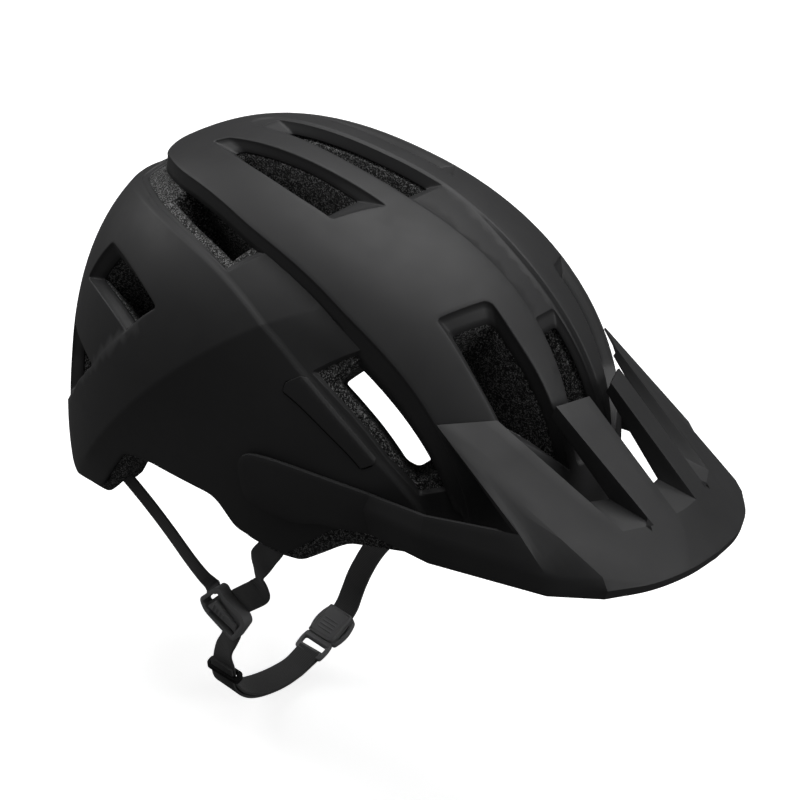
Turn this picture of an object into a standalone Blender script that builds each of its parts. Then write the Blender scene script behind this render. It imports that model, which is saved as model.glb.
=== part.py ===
"""Trail cycling helmet with visor, retention cradle and chin straps, as separate solids.

Front is -Y, the wearer's left is +X, up is +Z. Every length below is in millimetres and is
turned into metres where a mesh is made. Heights are measured from the front rim, and one
empty lowers the whole helmet so that the world origin lies on the seat under the crown pad.
Places on the curved body are given by two angles seen from a hub low between the ears:
sweep (0 forward, 90 up, 180 rearward) and splay (0 on the midline, positive to the left).
"""
import math

import bmesh
import bpy
import numpy as np
from mathutils import Matrix, Vector

MM = 0.001

# outer form of the body
HUB_Y, HUB_Z = 8.0, -35.0
FORM_Y, FORM_Z = 10.0, 14.0
HALF_WIDTH = 105.0
FRONT_REACH, REAR_REACH = 148.0, 150.0
CROWN_RISE = 139.5
PLAN_FRONT, PLAN_REAR, SECTION = 2.1, 2.3, 2.42
REAR_LIFT = 0.10 / 145.0
FOLD_DEPTH, FOLD_LENGTH = 9.0, 50.0

# walls and gaps
SHELL = 1.6
GAP = 0.3
FOAM_GAP = 0.75
CHANNEL_DEPTH = 6.0
CHANNEL_LIP = 1.4
INSERT_PROUD = 0.6

# head cavity
CAVITY_Y, CAVITY_Z = 4.0, 12.0
CAVITY_HALF = (82.0, 109.0, 110.0)
SEAT_Z = 114.0
PAD = 5.0
CROWN_PAD = (18.0, 27.0)
SCOOP_Y, SCOOP_Z = 70.0, -38.0
SCOOP_HALF = (70.0, 66.0, 70.0)
# room beside the cradle's belt arms: an upright ellipse that closes over in a shallow dome
BELT_ROOM_Y, BELT_ROOM_HALF = 52.0, (75.0, 64.0)
BELT_ROOM_LOW, BELT_ROOM_TOP, BELT_ROOM_DOME = -60.0, 20.0, 12.0
NAPE_HALF, NAPE_ARCH, NAPE_BULGE = 46.0, -35.2, 9.0

# ridge of the raised centre cap and upper edge of the side shell: (sweep, splay)
RIDGE = ((12, 24.5), (30, 25), (48, 25.5), (69, 26), (80, 25), (92, 23), (100, 20.8), (112, 16),
         (118, 12), (121, 8.5), (123, 0))
SIDE_EDGE = ((12, 32), (30, 33.5), (49, 35.2), (72, 35.3), (84, 33), (97, 30), (108, 25.8),
             (117, 21), (124, 15.5), (129, 9.5), (131, 0))

# vents, as corners (sweep, splay) on the right-hand side
TOP_VENT = ((84, 15), (81.5, 8.9), (107, 7.8), (109.5, 9.2), (104, 12.2), (94, 14.2))
CROWN_VENT = ((79.5, 3.8), (107.5, 2.8))
BROW_VENT = ((34, 3.4), (54, 2.2))
FRONT_VENT = ((61, 17), (58.5, 9.6), (52, 8.8), (41, 8), (31, 7.4), (39, 15.5), (48, 18.2))
REAR_CHANNEL_VENT = ((97, 28.2), (92.5, 24.4), (103, 20.6), (112, 17.2), (117, 15.4), (115.5, 20.6), (106, 25.4))
SIDE_VENT = ((72, 35), (66.5, 27.2), (50, 26.6), (36.5, 26.6), (41, 33.6), (54, 35))
REAR_VENT_A = ((126.5, 23.5), (136, 25), (123, 37.6), (112, 35))
REAR_VENT_B = ((147, 25), (141.5, 37), (161, 32), (161, 24))
TAIL_VENT = ((140, 9.5), (152, 6.5))
NAPE_VENT = ((154, 16.5), (151, 10), (163, 8), (167, 14))
INSERT_TOP = ((74, 37.8), (72.6, 36.5), (69.6, 35.9), (64.7, 35.9), (59.8, 35.8), (54.9, 35.8), (50, 35.8), (48.8, 37))
INSERT_LOW = ((74, 39.6), (72.6, 39.6), (69.6, 39.5), (64.7, 39.4), (59.8, 39.2), (54.9, 39), (50, 38.9), (48.9, 38.8))
INSERT = INSERT_TOP + INSERT_LOW[::-1]

# lower edge of the shell and of the foam, seen from the side: (y, height)
SHELL_RIM = ((-170, 13), (-72, 17), (-53, 12), (-32, -9), (-26, -10), (-3, -6), (8, 4), (13, 6), (54, 7),
             (69, 4), (90, -28), (116, -35), (190, -35))
FOAM_RIM = ((-170, 5), (-62, 6), (-56, 2), (-39, -13), (-28, -14), (-8, -11), (9, 1), (14, 3), (54, 4),
            (66, 1), (80, -24), (89, -33), (112, -38), (190, -38))

# visor, right half: named corners (x, y, height)
VISOR_WALL = 2.4
LIP_MID = (0, -205, 31)
LIP_INNER = (-22, -203, 30.5)
LIP_NEAR = (-43, -196, 29)
LIP_CORNER = (-62, -184, 28)
RIB_IN_TIP = ((-11, -133, 87), (-29, -127, 85))
RIB_IN_FOOT = ((-9, -185, 46), (-24, -182, 45))
RIB_OUT_TIP = ((-52, -112.5, 83), (-72, -94.2, 79))
RIB_OUT_FOOT = (-39, -175, 45)
GAP_FLOOR = ((-36, -153, 49), (-24, -158, 48))
MID_FLOOR = (-7, -165, 49)
WING = (-79, -146, 47)
PIVOT_Y, PIVOT_Z = -22.0, 27.0
ARM_CLEAR = 2.2
BOSS_RADIUS, BOSS_LENGTH = 4.0, 0.7

WEBBING_WIDTH, WEBBING_THICK = 14.0, 1.4


# ---------------------------------------------------------------- scene helpers
def clear_scene():
    for old in list(bpy.data.objects):
        bpy.data.objects.remove(old, do_unlink=True)


def material(name, colour, roughness, metallic=0.0):
    made = bpy.data.materials.new(name)
    made.use_nodes = True
    shader = made.node_tree.nodes["Principled BSDF"]
    shader.inputs["Base Color"].default_value = (*colour, 1.0)
    shader.inputs["Roughness"].default_value = roughness
    shader.inputs["Metallic"].default_value = metallic
    return made


def add_mesh(name, verts, faces, paint, holder):
    """One object from points in millimetres, with its normals turned outward."""
    mesh = bpy.data.meshes.new(name)
    mesh.from_pydata([[c * MM for c in p] for p in verts], [], faces)
    bm = bmesh.new()
    bm.from_mesh(mesh)
    bmesh.ops.remove_doubles(bm, verts=bm.verts, dist=1e-6)
    bmesh.ops.recalc_face_normals(bm, faces=bm.faces)
    if bm.calc_volume(signed=True) < 0:
        bmesh.ops.reverse_faces(bm, faces=bm.faces)
    bm.to_mesh(mesh)
    bm.free()
    made = bpy.data.objects.new(name, mesh)
    bpy.context.scene.collection.objects.link(made)
    made.parent = holder
    if paint:
        mesh.materials.append(paint)
        mesh.shade_smooth()
        mesh.set_sharp_from_angle(angle=math.radians(28))
    return made


def prism(name, first, second, paint, holder):
    """A body between two matching loops of points: two caps and a wall."""
    count = len(first)
    faces = [list(range(count)), list(range(count, 2 * count))]
    faces += [(i, (i + 1) % count, (i + 1) % count + count, i + count) for i in range(count)]
    return add_mesh(name, list(first) + list(second), faces, paint, holder)


def guide(made):
    """Marks a cutter: it shapes other pieces and isn't one itself. Its warped walls are split into triangles."""
    bm = bmesh.new()
    bm.from_mesh(made.data)
    bmesh.ops.triangulate(bm, faces=bm.faces)
    bm.to_mesh(made.data)
    bm.free()
    made.hide_render = True
    made.display_type = "WIRE"
    return made


def on_axis(made, title, point, holder):
    """Hangs a piece from an empty on its joint's axis, and leaves it where it is."""
    axis = bpy.data.objects.new(title + "_axis", None)
    bpy.context.scene.collection.objects.link(axis)
    axis.parent = holder
    axis.location = Vector(point) * MM
    made.data.transform(Matrix.Translation(-Vector(point) * MM))
    made.parent = axis


def boolean(target, tool, operation="DIFFERENCE"):
    step = target.modifiers.new(operation.lower(), "BOOLEAN")
    step.operation = operation
    step.object = tool
    step.solver = "EXACT"


def bevelled(target, width, segments=1):
    step = target.modifiers.new("edges", "BEVEL")
    step.width = width * MM
    step.segments = segments
    step.limit_method = "ANGLE"
    step.angle_limit = math.radians(40)


# ---------------------------------------------------------------- outer form
def form_value(x, y, z):
    """Below zero inside the smooth outer form, zero on it."""
    along = y - FORM_Y
    rise = (z - FORM_Z) / (1 + REAR_LIFT * along)
    reach = np.where(along < 0, FRONT_REACH, REAR_REACH)
    plan = np.where(along < 0, PLAN_FRONT, PLAN_REAR)
    spread = (np.abs(x / HALF_WIDTH) ** plan + np.abs(along / reach) ** plan) ** (1 / plan)
    return (spread ** SECTION + np.abs(rise / CROWN_RISE) ** SECTION) ** (1 / SECTION) - 1


def crease_height(y):
    return -35 + 1.064 * (115 - y) + 16 * (1 - ((y - 45) / 70) ** 2)


def fold_shift(y, z):
    """How far the side tucks inward under its body crease."""
    below = np.maximum(crease_height(y) - z, 0)
    return FOLD_DEPTH * (1 - np.exp(-below / FOLD_LENGTH))


def ray(sweep, splay):
    a, b = math.radians(sweep), math.radians(splay)
    return np.array([math.sin(b), -math.cos(b) * math.cos(a), math.cos(b) * math.sin(a)])


def skin(sweep, splay, depth=0.0):
    """Point on the outer form along a ray from the hub, moved in by depth."""
    d = ray(sweep, splay)
    near, far = 15.0, 320.0
    for _ in range(40):
        mid = (near + far) / 2
        if form_value(mid * d[0], HUB_Y + mid * d[1], HUB_Z + mid * d[2]) < 0:
            near = mid
        else:
            far = mid
    y, z = HUB_Y + near * d[1], HUB_Z + near * d[2]
    weight = min(max((abs(splay) - 27) / 7, 0), 1)
    x = near * d[0] - math.copysign(weight * fold_shift(y, z), d[0])
    outward = np.array([x, y - HUB_Y, z - FORM_Z]) / np.array([1.0, 1.9, 1.6])
    outward /= np.linalg.norm(outward)
    return np.array([x, y, z]) - depth * outward


def side_x(y, z):
    """Half width of the body at a given place on its side."""
    xs = np.linspace(20, 120, 401)
    inside = xs[form_value(xs, y, z) < 0]
    return float(inside[-1]) - float(fold_shift(y, z))


def smooth_line(points, count):
    """Points of a smooth curve through the given ones, evenly shared between them."""
    pts = [np.array(p, float) for p in points]
    pts = [2 * pts[0] - pts[1]] + pts + [2 * pts[-1] - pts[-2]]
    line = []
    for i in range(1, len(pts) - 2):
        a, b, c, d = pts[i - 1:i + 3]
        for k in range(count):
            t = k / count
            line.append(0.5 * (2 * b + (c - a) * t + (2 * a - 5 * b + 4 * c - d) * t ** 2
                               + (3 * b - a - 3 * c + d) * t ** 3))
    line.append(pts[-2])
    return line


def mirrored(corners):
    return [(sweep, -splay) for sweep, splay in corners]


SPLAYS = (0, 2.5, 4.2, 8, 12, 16, 20, 24, 28, 32, 37, 43, 50, 58, 67, 78)
SWEEPS = list(range(-24, 205, 6)) + [230, 262, 294]
# radius of the body under the rim, and how much it grows per millimetre of depth so that an inner body
# reaches out of the bottom of an outer one
CORE, CORE_STEP = 60.0, 6.0


def midline_groove(sweep, splay):
    """A shallow trough between the crown vent and the brow vent."""
    ends = min(max((sweep - 50) / 6, 0), 1) * min(max((112 - sweep) / 6, 0), 1)
    return 2.0 * ends * (1.0 if abs(splay) < 3 else 0.0)


def form_body(name, depth, paint, holder):
    """A closed body a given depth under the outer form."""
    splays = [-s for s in reversed(SPLAYS[1:])] + list(SPLAYS)
    verts, faces = [], []
    for sweep in SWEEPS:
        for splay in splays:
            if -30 < sweep < 206:
                verts.append(skin(sweep, splay, depth + midline_groove(sweep, splay)))
            else:
                verts.append(np.array([0, HUB_Y, HUB_Z]) + (CORE + CORE_STEP * depth) * ray(sweep, splay))
    wide = len(splays)
    for i in range(len(SWEEPS)):
        j = (i + 1) % len(SWEEPS)
        for k in range(wide - 1):
            faces.append((i * wide + k, i * wide + k + 1, j * wide + k + 1, j * wide + k))
    faces.append([i * wide for i in range(len(SWEEPS))])
    faces.append([i * wide + wide - 1 for i in range(len(SWEEPS))])
    return add_mesh(name, verts, faces, paint, holder)


def prism_over(name, loop, outer_depth, inner_depth, holder):
    """A cutter whose walls follow rays from the hub through a loop of (sweep, splay)."""
    outer = [skin(a, b, outer_depth) for a, b in loop]
    inner = [skin(a, b, inner_depth) for a, b in loop]
    return guide(prism(name, outer, inner, None, holder))


def grown(loop, amount):
    """The loop moved outward by an amount in millimetres, about 0.36 degrees to one."""
    pts = np.array(loop, float)
    centre = pts.mean(axis=0)
    shift = []
    for i, p in enumerate(pts):
        before, after = pts[i - 1], pts[(i + 1) % len(pts)]
        edge_in = (p - before) / np.linalg.norm(p - before)
        edge_out = (after - p) / np.linalg.norm(after - p)
        normal = np.array([edge_in[1] + edge_out[1], -edge_in[0] - edge_out[0]])
        normal /= np.linalg.norm(normal)
        if normal @ (p - centre) < 0:
            normal = -normal
        sharp = max(math.sqrt((1 + edge_in @ edge_out) / 2), 0.5)
        shift.append(p + normal * amount * 0.36 / sharp)
    return [tuple(s) for s in shift]


def strip_cutter(name, line_in, line_out, depth_in, depth_out, holder):
    """A cutter over the band between two loops, with a floor at the given depths."""
    verts, faces = [], []
    for (a0, b0), (a1, b1) in zip(line_in, line_out):
        verts += [skin(a0, b0, -14), skin(a1, b1, -14), skin(a1, b1, depth_out), skin(a0, b0, depth_in)]
    for i in range(len(line_in) - 1):
        for k in range(4):
            faces.append((4 * i + k, 4 * i + (k + 1) % 4, 4 * i + 4 + (k + 1) % 4, 4 * i + 4 + k))
    faces += [(0, 1, 2, 3), tuple(4 * len(line_in) - 4 + k for k in range(4))]
    return guide(add_mesh(name, verts, faces, None, holder))


def ring_line(half, move):
    """The full line of a ridge or edge, front right over the rear to front left, moved outward."""
    line = []
    for sweep, splay in smooth_line(half, 3):
        share = min(max((sweep - 112) / 14, 0), 1)
        line.append((sweep + share * move * 0.36, max(splay + (1 - 0.6 * share) * move * 0.36, 0)))
    line[-1] = (line[-1][0], 0.0)
    return [(a, -b) for a, b in line] + [(a, b) for a, b in reversed(line[:-1])]


def channel_cutter(name, reach_in, reach_out, depth_in, depth_out, holder):
    return strip_cutter(name, ring_line(RIDGE, -reach_in), ring_line(SIDE_EDGE, reach_out), depth_in, depth_out, holder)


def cap_cutter(name, inset, holder):
    """Removes what lies under the centre cap, inside its ridge."""
    line = ring_line(RIDGE, -inset)
    right, left = line[:len(line) // 2 + 1], line[len(line) // 2:][::-1]
    verts, faces = [], []
    for (a0, b0), (a1, b1) in zip(right, left):
        for share in (0, 0.25, 0.5, 0.75, 1):
            sweep, splay = a0 + (a1 - a0) * share, b0 + (b1 - b0) * share
            verts += [skin(sweep, splay, -12), skin(sweep, splay, 16)]
    for i in range(len(right) - 2):
        for k in range(4):
            for side in (0, 1):
                p = 10 * i + 2 * k + side
                faces.append((p, p + 2, p + 12, p + 10))
        for p in (10 * i, 10 * i + 8):
            faces.append((p, p + 1, p + 11, p + 10))
    tip = 10 * (len(right) - 2)
    for row, step in ((0, 2), (tip, 2)):
        for k in range(4):
            faces.append((row + 2 * k, row + 2 * k + 1, row + 2 * k + 3, row + 2 * k + 2))
    return guide(add_mesh(name, verts[:10 * (len(right) - 1)], faces, None, holder))


def rim_cutter(name, line, holder):
    """Removes everything below a rim line seen from the side."""
    profile = list(line) + [(190, -140), (-170, -140)]
    return guide(prism(name, [(-160, y, z) for y, z in profile], [(160, y, z) for y, z in profile], None, holder))


def midline_loop(vent):
    (front, wide_front), (rear, wide_rear) = vent
    return [(front, -wide_front), (front, wide_front), (rear, wide_rear), (rear, -wide_rear)]


def vent_loops():
    """Every through vent: name, loop, and how much smaller the foam's hole is."""
    loops = [("crown_vent", midline_loop(CROWN_VENT), 1.0), ("brow_vent", midline_loop(BROW_VENT), 1.0),
             ("tail_vent", midline_loop(TAIL_VENT), 2.0)]
    for title, corners, ledge in (("top_vent", TOP_VENT, 1.5), ("front_vent", FRONT_VENT, 2.5),
                                  ("side_vent", SIDE_VENT, 3.0), ("rear_channel_vent", REAR_CHANNEL_VENT, 2.5),
                                  ("rear_vent_a", REAR_VENT_A, 2.0), ("rear_vent_b", REAR_VENT_B, 2.0),
                                  ("nape_vent", NAPE_VENT, 2.0)):
        loops.append((title + "_left", list(corners), ledge))
        loops.append((title + "_right", mirrored(corners), ledge))
    return loops


# ---------------------------------------------------------------- shells and liner
def make_shells(holder, paint):
    rim = rim_cutter("cut_shell_rim", SHELL_RIM, holder)
    vents = [prism_over("cut_" + title, loop, -14, 26, holder) for title, loop, _ in vent_loops()]

    inner = guide(form_body("cut_shell_inside", SHELL, None, holder))
    boolean(inner, channel_cutter("cut_channel_inside", 8.6, 2.2, CHANNEL_DEPTH + SHELL,
                                  CHANNEL_LIP + SHELL, holder))
    lower = form_body("lower_shell", 0.0, paint, holder)
    boolean(lower, channel_cutter("cut_channel", 7, 0, CHANNEL_DEPTH, CHANNEL_LIP, holder))
    boolean(lower, inner)
    boolean(lower, cap_cutter("cut_cap_opening", 3.2, holder))
    boolean(lower, prism_over("cut_brow_opening", [(-2, -22), (-2, 22), (24, 22), (24, -22)], -14, 26, holder))
    boolean(lower, rim)
    boolean(lower, nape_arch("cut_nape_shell", NAPE_ARCH, holder))
    for tool in vents:
        boolean(lower, tool)
    for side, corners in (("left", INSERT), ("right", mirrored(INSERT))):
        boolean(lower, prism_over("cut_insert_" + side, grown(corners, 0.4), -14, 8, holder))

    upper = cap_body("upper_shell", paint, holder)
    boolean(upper, rim_cutter("cut_cap_rim", ((-170, 14), (190, 14)), holder))
    for tool in vents:
        boolean(upper, tool)


def cap_body(name, paint, holder):
    """The raised centre cap: a skin with a skirt down to the channel floor."""
    ridge = smooth_line([p for p in RIDGE if p[0] >= 12], 3)[:-1]
    shares = (0, 0.12, 0.2, 0.35, 0.52, 0.7, 0.86)
    inset = (SHELL + 0.2) * 0.36
    verts, faces = [], []
    for sweep, splay in ridge:
        row_out = [(splay * s, 0.0) for s in shares] + [(splay, 0.0), (splay, CHANNEL_DEPTH - GAP)]
        row_in = [(splay * s, SHELL) for s in shares] + [(max(splay - inset, splay * 0.9), SHELL),
                                                         (max(splay - inset, splay * 0.9), CHANNEL_DEPTH - GAP)]
        for row in (row_out, row_in):
            both = [(-b, d) for b, d in reversed(row[1:])] + row
            for b, depth in both:
                verts.append(skin(sweep, b, depth + midline_groove(sweep, b)))
    wide = 2 * len(shares) + 3
    rows = len(ridge)
    for i in range(rows - 1):
        for layer in (0, 1):
            for k in range(wide - 1):
                p = (2 * i + layer) * wide + k
                faces.append((p, p + 1, p + 1 + 2 * wide, p + 2 * wide))
        for k in (0, wide - 1):
            p = 2 * i * wide + k
            faces.append((p, p + wide, p + 3 * wide, p + 2 * wide))
    for i in (0, rows - 1):
        for k in range(wide - 1):
            p = 2 * i * wide + k
            faces.append((p, p + 1, p + 1 + wide, p + wide))
    return add_mesh(name, verts, faces, paint, holder)


# ---------------------------------------------------------------- liner, inserts and pads
def cavity_point(turn, lift, inset=0.0):
    """Point of the head cavity: turn 0 faces forward and is positive to the left, lift 90 is the crown."""
    a, b = math.radians(turn), math.radians(max(lift, 0))
    half = [h - inset for h in CAVITY_HALF]
    drop = min(lift, 0)
    return np.array([half[0] * math.sin(a) * math.cos(b), CAVITY_Y - half[1] * math.cos(a) * math.cos(b),
                     CAVITY_Z + half[2] * math.sin(b) + drop])


def cavity_body(name, inset, holder):
    """The head space as a closed body; a negative lift is millimetres straight down."""
    turns = range(0, 360, 12)
    lifts = (-110, 0, 10, 22, 36, 50, 64, 77)
    verts = [cavity_point(t, b, inset) for b in lifts for t in turns]
    count = len(turns)
    faces = [(i * count + k, i * count + (k + 1) % count, (i + 1) * count + (k + 1) % count, (i + 1) * count + k)
             for i in range(len(lifts) - 1) for k in range(count)]
    verts.append(cavity_point(0, 90, inset))
    top = (len(lifts) - 1) * count
    faces += [(top + k, top + (k + 1) % count, len(verts) - 1) for k in range(count)]
    faces.append(list(range(count)))
    return guide(add_mesh(name, verts, faces, None, holder))


def cavity_scoop(name, holder):
    """The deeper hollow behind the nape that the cradle and its dial move in."""
    verts, faces = [], []
    turns, lifts = range(0, 360, 15), range(-75, 90, 15)
    for b in lifts:
        for t in turns:
            a, c = math.radians(t), math.radians(b)
            verts.append((SCOOP_HALF[0] * math.sin(a) * math.cos(c),
                          SCOOP_Y + SCOOP_HALF[1] * math.cos(a) * math.cos(c),
                          SCOOP_Z + SCOOP_HALF[2] * math.sin(c)))
    count = len(turns)
    faces = [(i * count + k, i * count + (k + 1) % count, (i + 1) * count + (k + 1) % count, (i + 1) * count + k)
             for i in range(len(lifts) - 1) for k in range(count)]
    faces += [list(range(count)), list(range((len(lifts) - 1) * count, len(lifts) * count))]
    return guide(add_mesh(name, verts, faces, None, holder))


def nape_arch(name, rise, holder):
    """A wide shallow arch over the nape in the rear lower edge, as a bar along Y."""
    half = [(NAPE_HALF * math.cos(t), rise + NAPE_BULGE * math.sin(t)) for t in np.linspace(0, math.pi, 17)]
    profile = half + [(-NAPE_HALF, -140), (NAPE_HALF, -140)]
    return guide(prism(name, [(x, 60, z) for x, z in profile], [(x, 190, z) for x, z in profile], None, holder))


def box_points(low, high):
    return [(x, y, z) for x in (low[0], high[0]) for y in (low[1], high[1]) for z in (low[2], high[2])]


BOX_FACES = [(0, 1, 3, 2), (4, 6, 7, 5), (0, 4, 5, 1), (2, 3, 7, 6), (0, 2, 6, 4), (1, 5, 7, 3)]


def box(name, low, high, paint, holder):
    return add_mesh(name, box_points(low, high), BOX_FACES, paint, holder)


GUIDE_LOW, GUIDE_HIGH = (-13, 104, 22), (13, 107.2, 46)


def belt_room(name, holder):
    turns = np.linspace(0, 2 * math.pi, 49)[:-1]
    verts, faces = [], []
    count = len(turns)
    levels = [(BELT_ROOM_LOW, 1.0)]
    for share in (0.0, 0.4, 0.7, 0.92):
        levels.append((BELT_ROOM_TOP + BELT_ROOM_DOME * share, math.sqrt(1 - share ** 2)))
    for z, size in levels:
        verts += [(BELT_ROOM_HALF[0] * size * math.sin(t), BELT_ROOM_Y + BELT_ROOM_HALF[1] * size * math.cos(t), z)
                  for t in turns]
    for k in range(len(levels) - 1):
        faces += [(k * count + i, k * count + (i + 1) % count, (k + 1) * count + (i + 1) % count, (k + 1) * count + i)
                  for i in range(count)]
    faces += [tuple(range(count)), tuple(range((len(levels) - 1) * count, len(levels) * count))]
    return guide(add_mesh(name, verts, faces, None, holder))


def make_liner(holder, paint):
    skin_depth = SHELL + FOAM_GAP
    liner = form_body("eps_liner", skin_depth, paint, holder)
    boolean(liner, channel_cutter("cut_liner_channel", 6.2, 2.8, CHANNEL_DEPTH + skin_depth,
                                  CHANNEL_LIP + skin_depth, holder))
    boolean(liner, cavity_body("cut_cavity", 0.0, holder))
    boolean(liner, cavity_scoop("cut_dial_scoop", holder))
    boolean(liner, belt_room("cut_belt_room", holder))
    boolean(liner, nape_arch("cut_nape_foam", NAPE_ARCH - 3, holder))
    boolean(liner, rim_cutter("cut_foam_rim", FOAM_RIM, holder))
    pocket = [[c - 2 * GAP for c in GUIDE_LOW], [c + GAP for c in GUIDE_HIGH]]
    boolean(liner, guide(box("cut_guide_pocket", *pocket, None, holder)))
    for title, loop, ledge in vent_loops():
        boolean(liner, prism_over("cut_foam_" + title, grown(loop, -ledge), -14, 75, holder))
    for end in (FRONT_ANCHOR, REAR_ANCHOR):
        for side in (-1, 1):
            place = frame_at(mirror_x(end[0], side), mirror_x(end[1], side), mirror_x(end[2], side))
            slot = add_mesh("cut_strap_slot_%d_%d" % (end[0][1], side),
                            placed(box_points((-9, -2.2, -3), (9, 2.2, 16)), place), BOX_FACES, None, holder)
            boolean(liner, guide(slot))


def make_inserts(holder, paint):
    """A trim panel let into each side, as a strip between its top and its lower line."""
    for side, sign in (("left", 1), ("right", -1)):
        outline = grown(INSERT, -0.5)
        verts, faces = [], []
        for loop, depth in ((outline, -INSERT_PROUD), (INSERT, 0.0), (INSERT, SHELL)):
            verts += [skin(a, b * sign, depth) for a, b in loop]
        count = len(INSERT)
        for layer in (0, count):
            faces += [(layer + i, layer + (i + 1) % count, layer + count + (i + 1) % count, layer + count + i)
                      for i in range(count)]
        for layer in (0, 2 * count):
            faces += [(layer + i, layer + i + 1, layer + count - 2 - i, layer + count - 1 - i)
                      for i in range(len(INSERT_TOP) - 1)]
        add_mesh("side_insert_" + side, verts, faces, paint, holder)


def lining(name, turns, lifts, keep, paint, holder):
    """A pad on the cavity wall between two turns and two lifts."""
    across = np.linspace(turns[0], turns[1], 9)
    up = np.linspace(lifts[0], lifts[1], 4)
    verts = [cavity_point(t, b, inset) for inset in (-1, PAD) for b in up for t in across]
    rows, wide = len(up), len(across)
    faces = []
    for layer in (0, rows * wide):
        faces += [(layer + i * wide + k, layer + i * wide + k + 1, layer + (i + 1) * wide + k + 1,
                   layer + (i + 1) * wide + k) for i in range(rows - 1) for k in range(wide - 1)]
    shift = rows * wide
    for i in range(rows - 1):
        for p in (i * wide, i * wide + wide - 1):
            faces.append((p, p + wide, p + wide + shift, p + shift))
    for k in range(wide - 1):
        for p in (k, (rows - 1) * wide + k):
            faces.append((p, p + 1, p + 1 + shift, p + shift))
    pad = add_mesh(name, verts, faces, paint, holder)
    boolean(pad, keep, "INTERSECT")


def make_pads(holder, paint):
    keep = cavity_body("keep_clear_of_foam", GAP + 0.2, holder)
    turns = np.linspace(0, 2 * math.pi, 25)[:-1]
    ends = [[(CROWN_PAD[0] * math.cos(t), CAVITY_Y + CROWN_PAD[1] * math.sin(t), z) for t in turns]
            for z in (SEAT_Z, CAVITY_Z + CAVITY_HALF[2] + 6)]
    pad = prism("crown_pad", *ends, paint, holder)
    boolean(pad, keep, "INTERSECT")
    lining("brow_pad", (-52, 52), (1, 9), keep, paint, holder)
    for side, sign in (("left", 1), ("right", -1)):
        lining("side_pad_" + side, (sign * 62, sign * 118), (30, 44), keep, paint, holder)
        lining("rear_pad_" + side, (sign * 142, sign * 166), (28, 52), keep, paint, holder)


# ---------------------------------------------------------------- visor
def mirror_x(point, side):
    """The point on the wearer's right for side -1, and mirrored to the left for side 1."""
    return (point[0] * -side, point[1], point[2])


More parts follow.
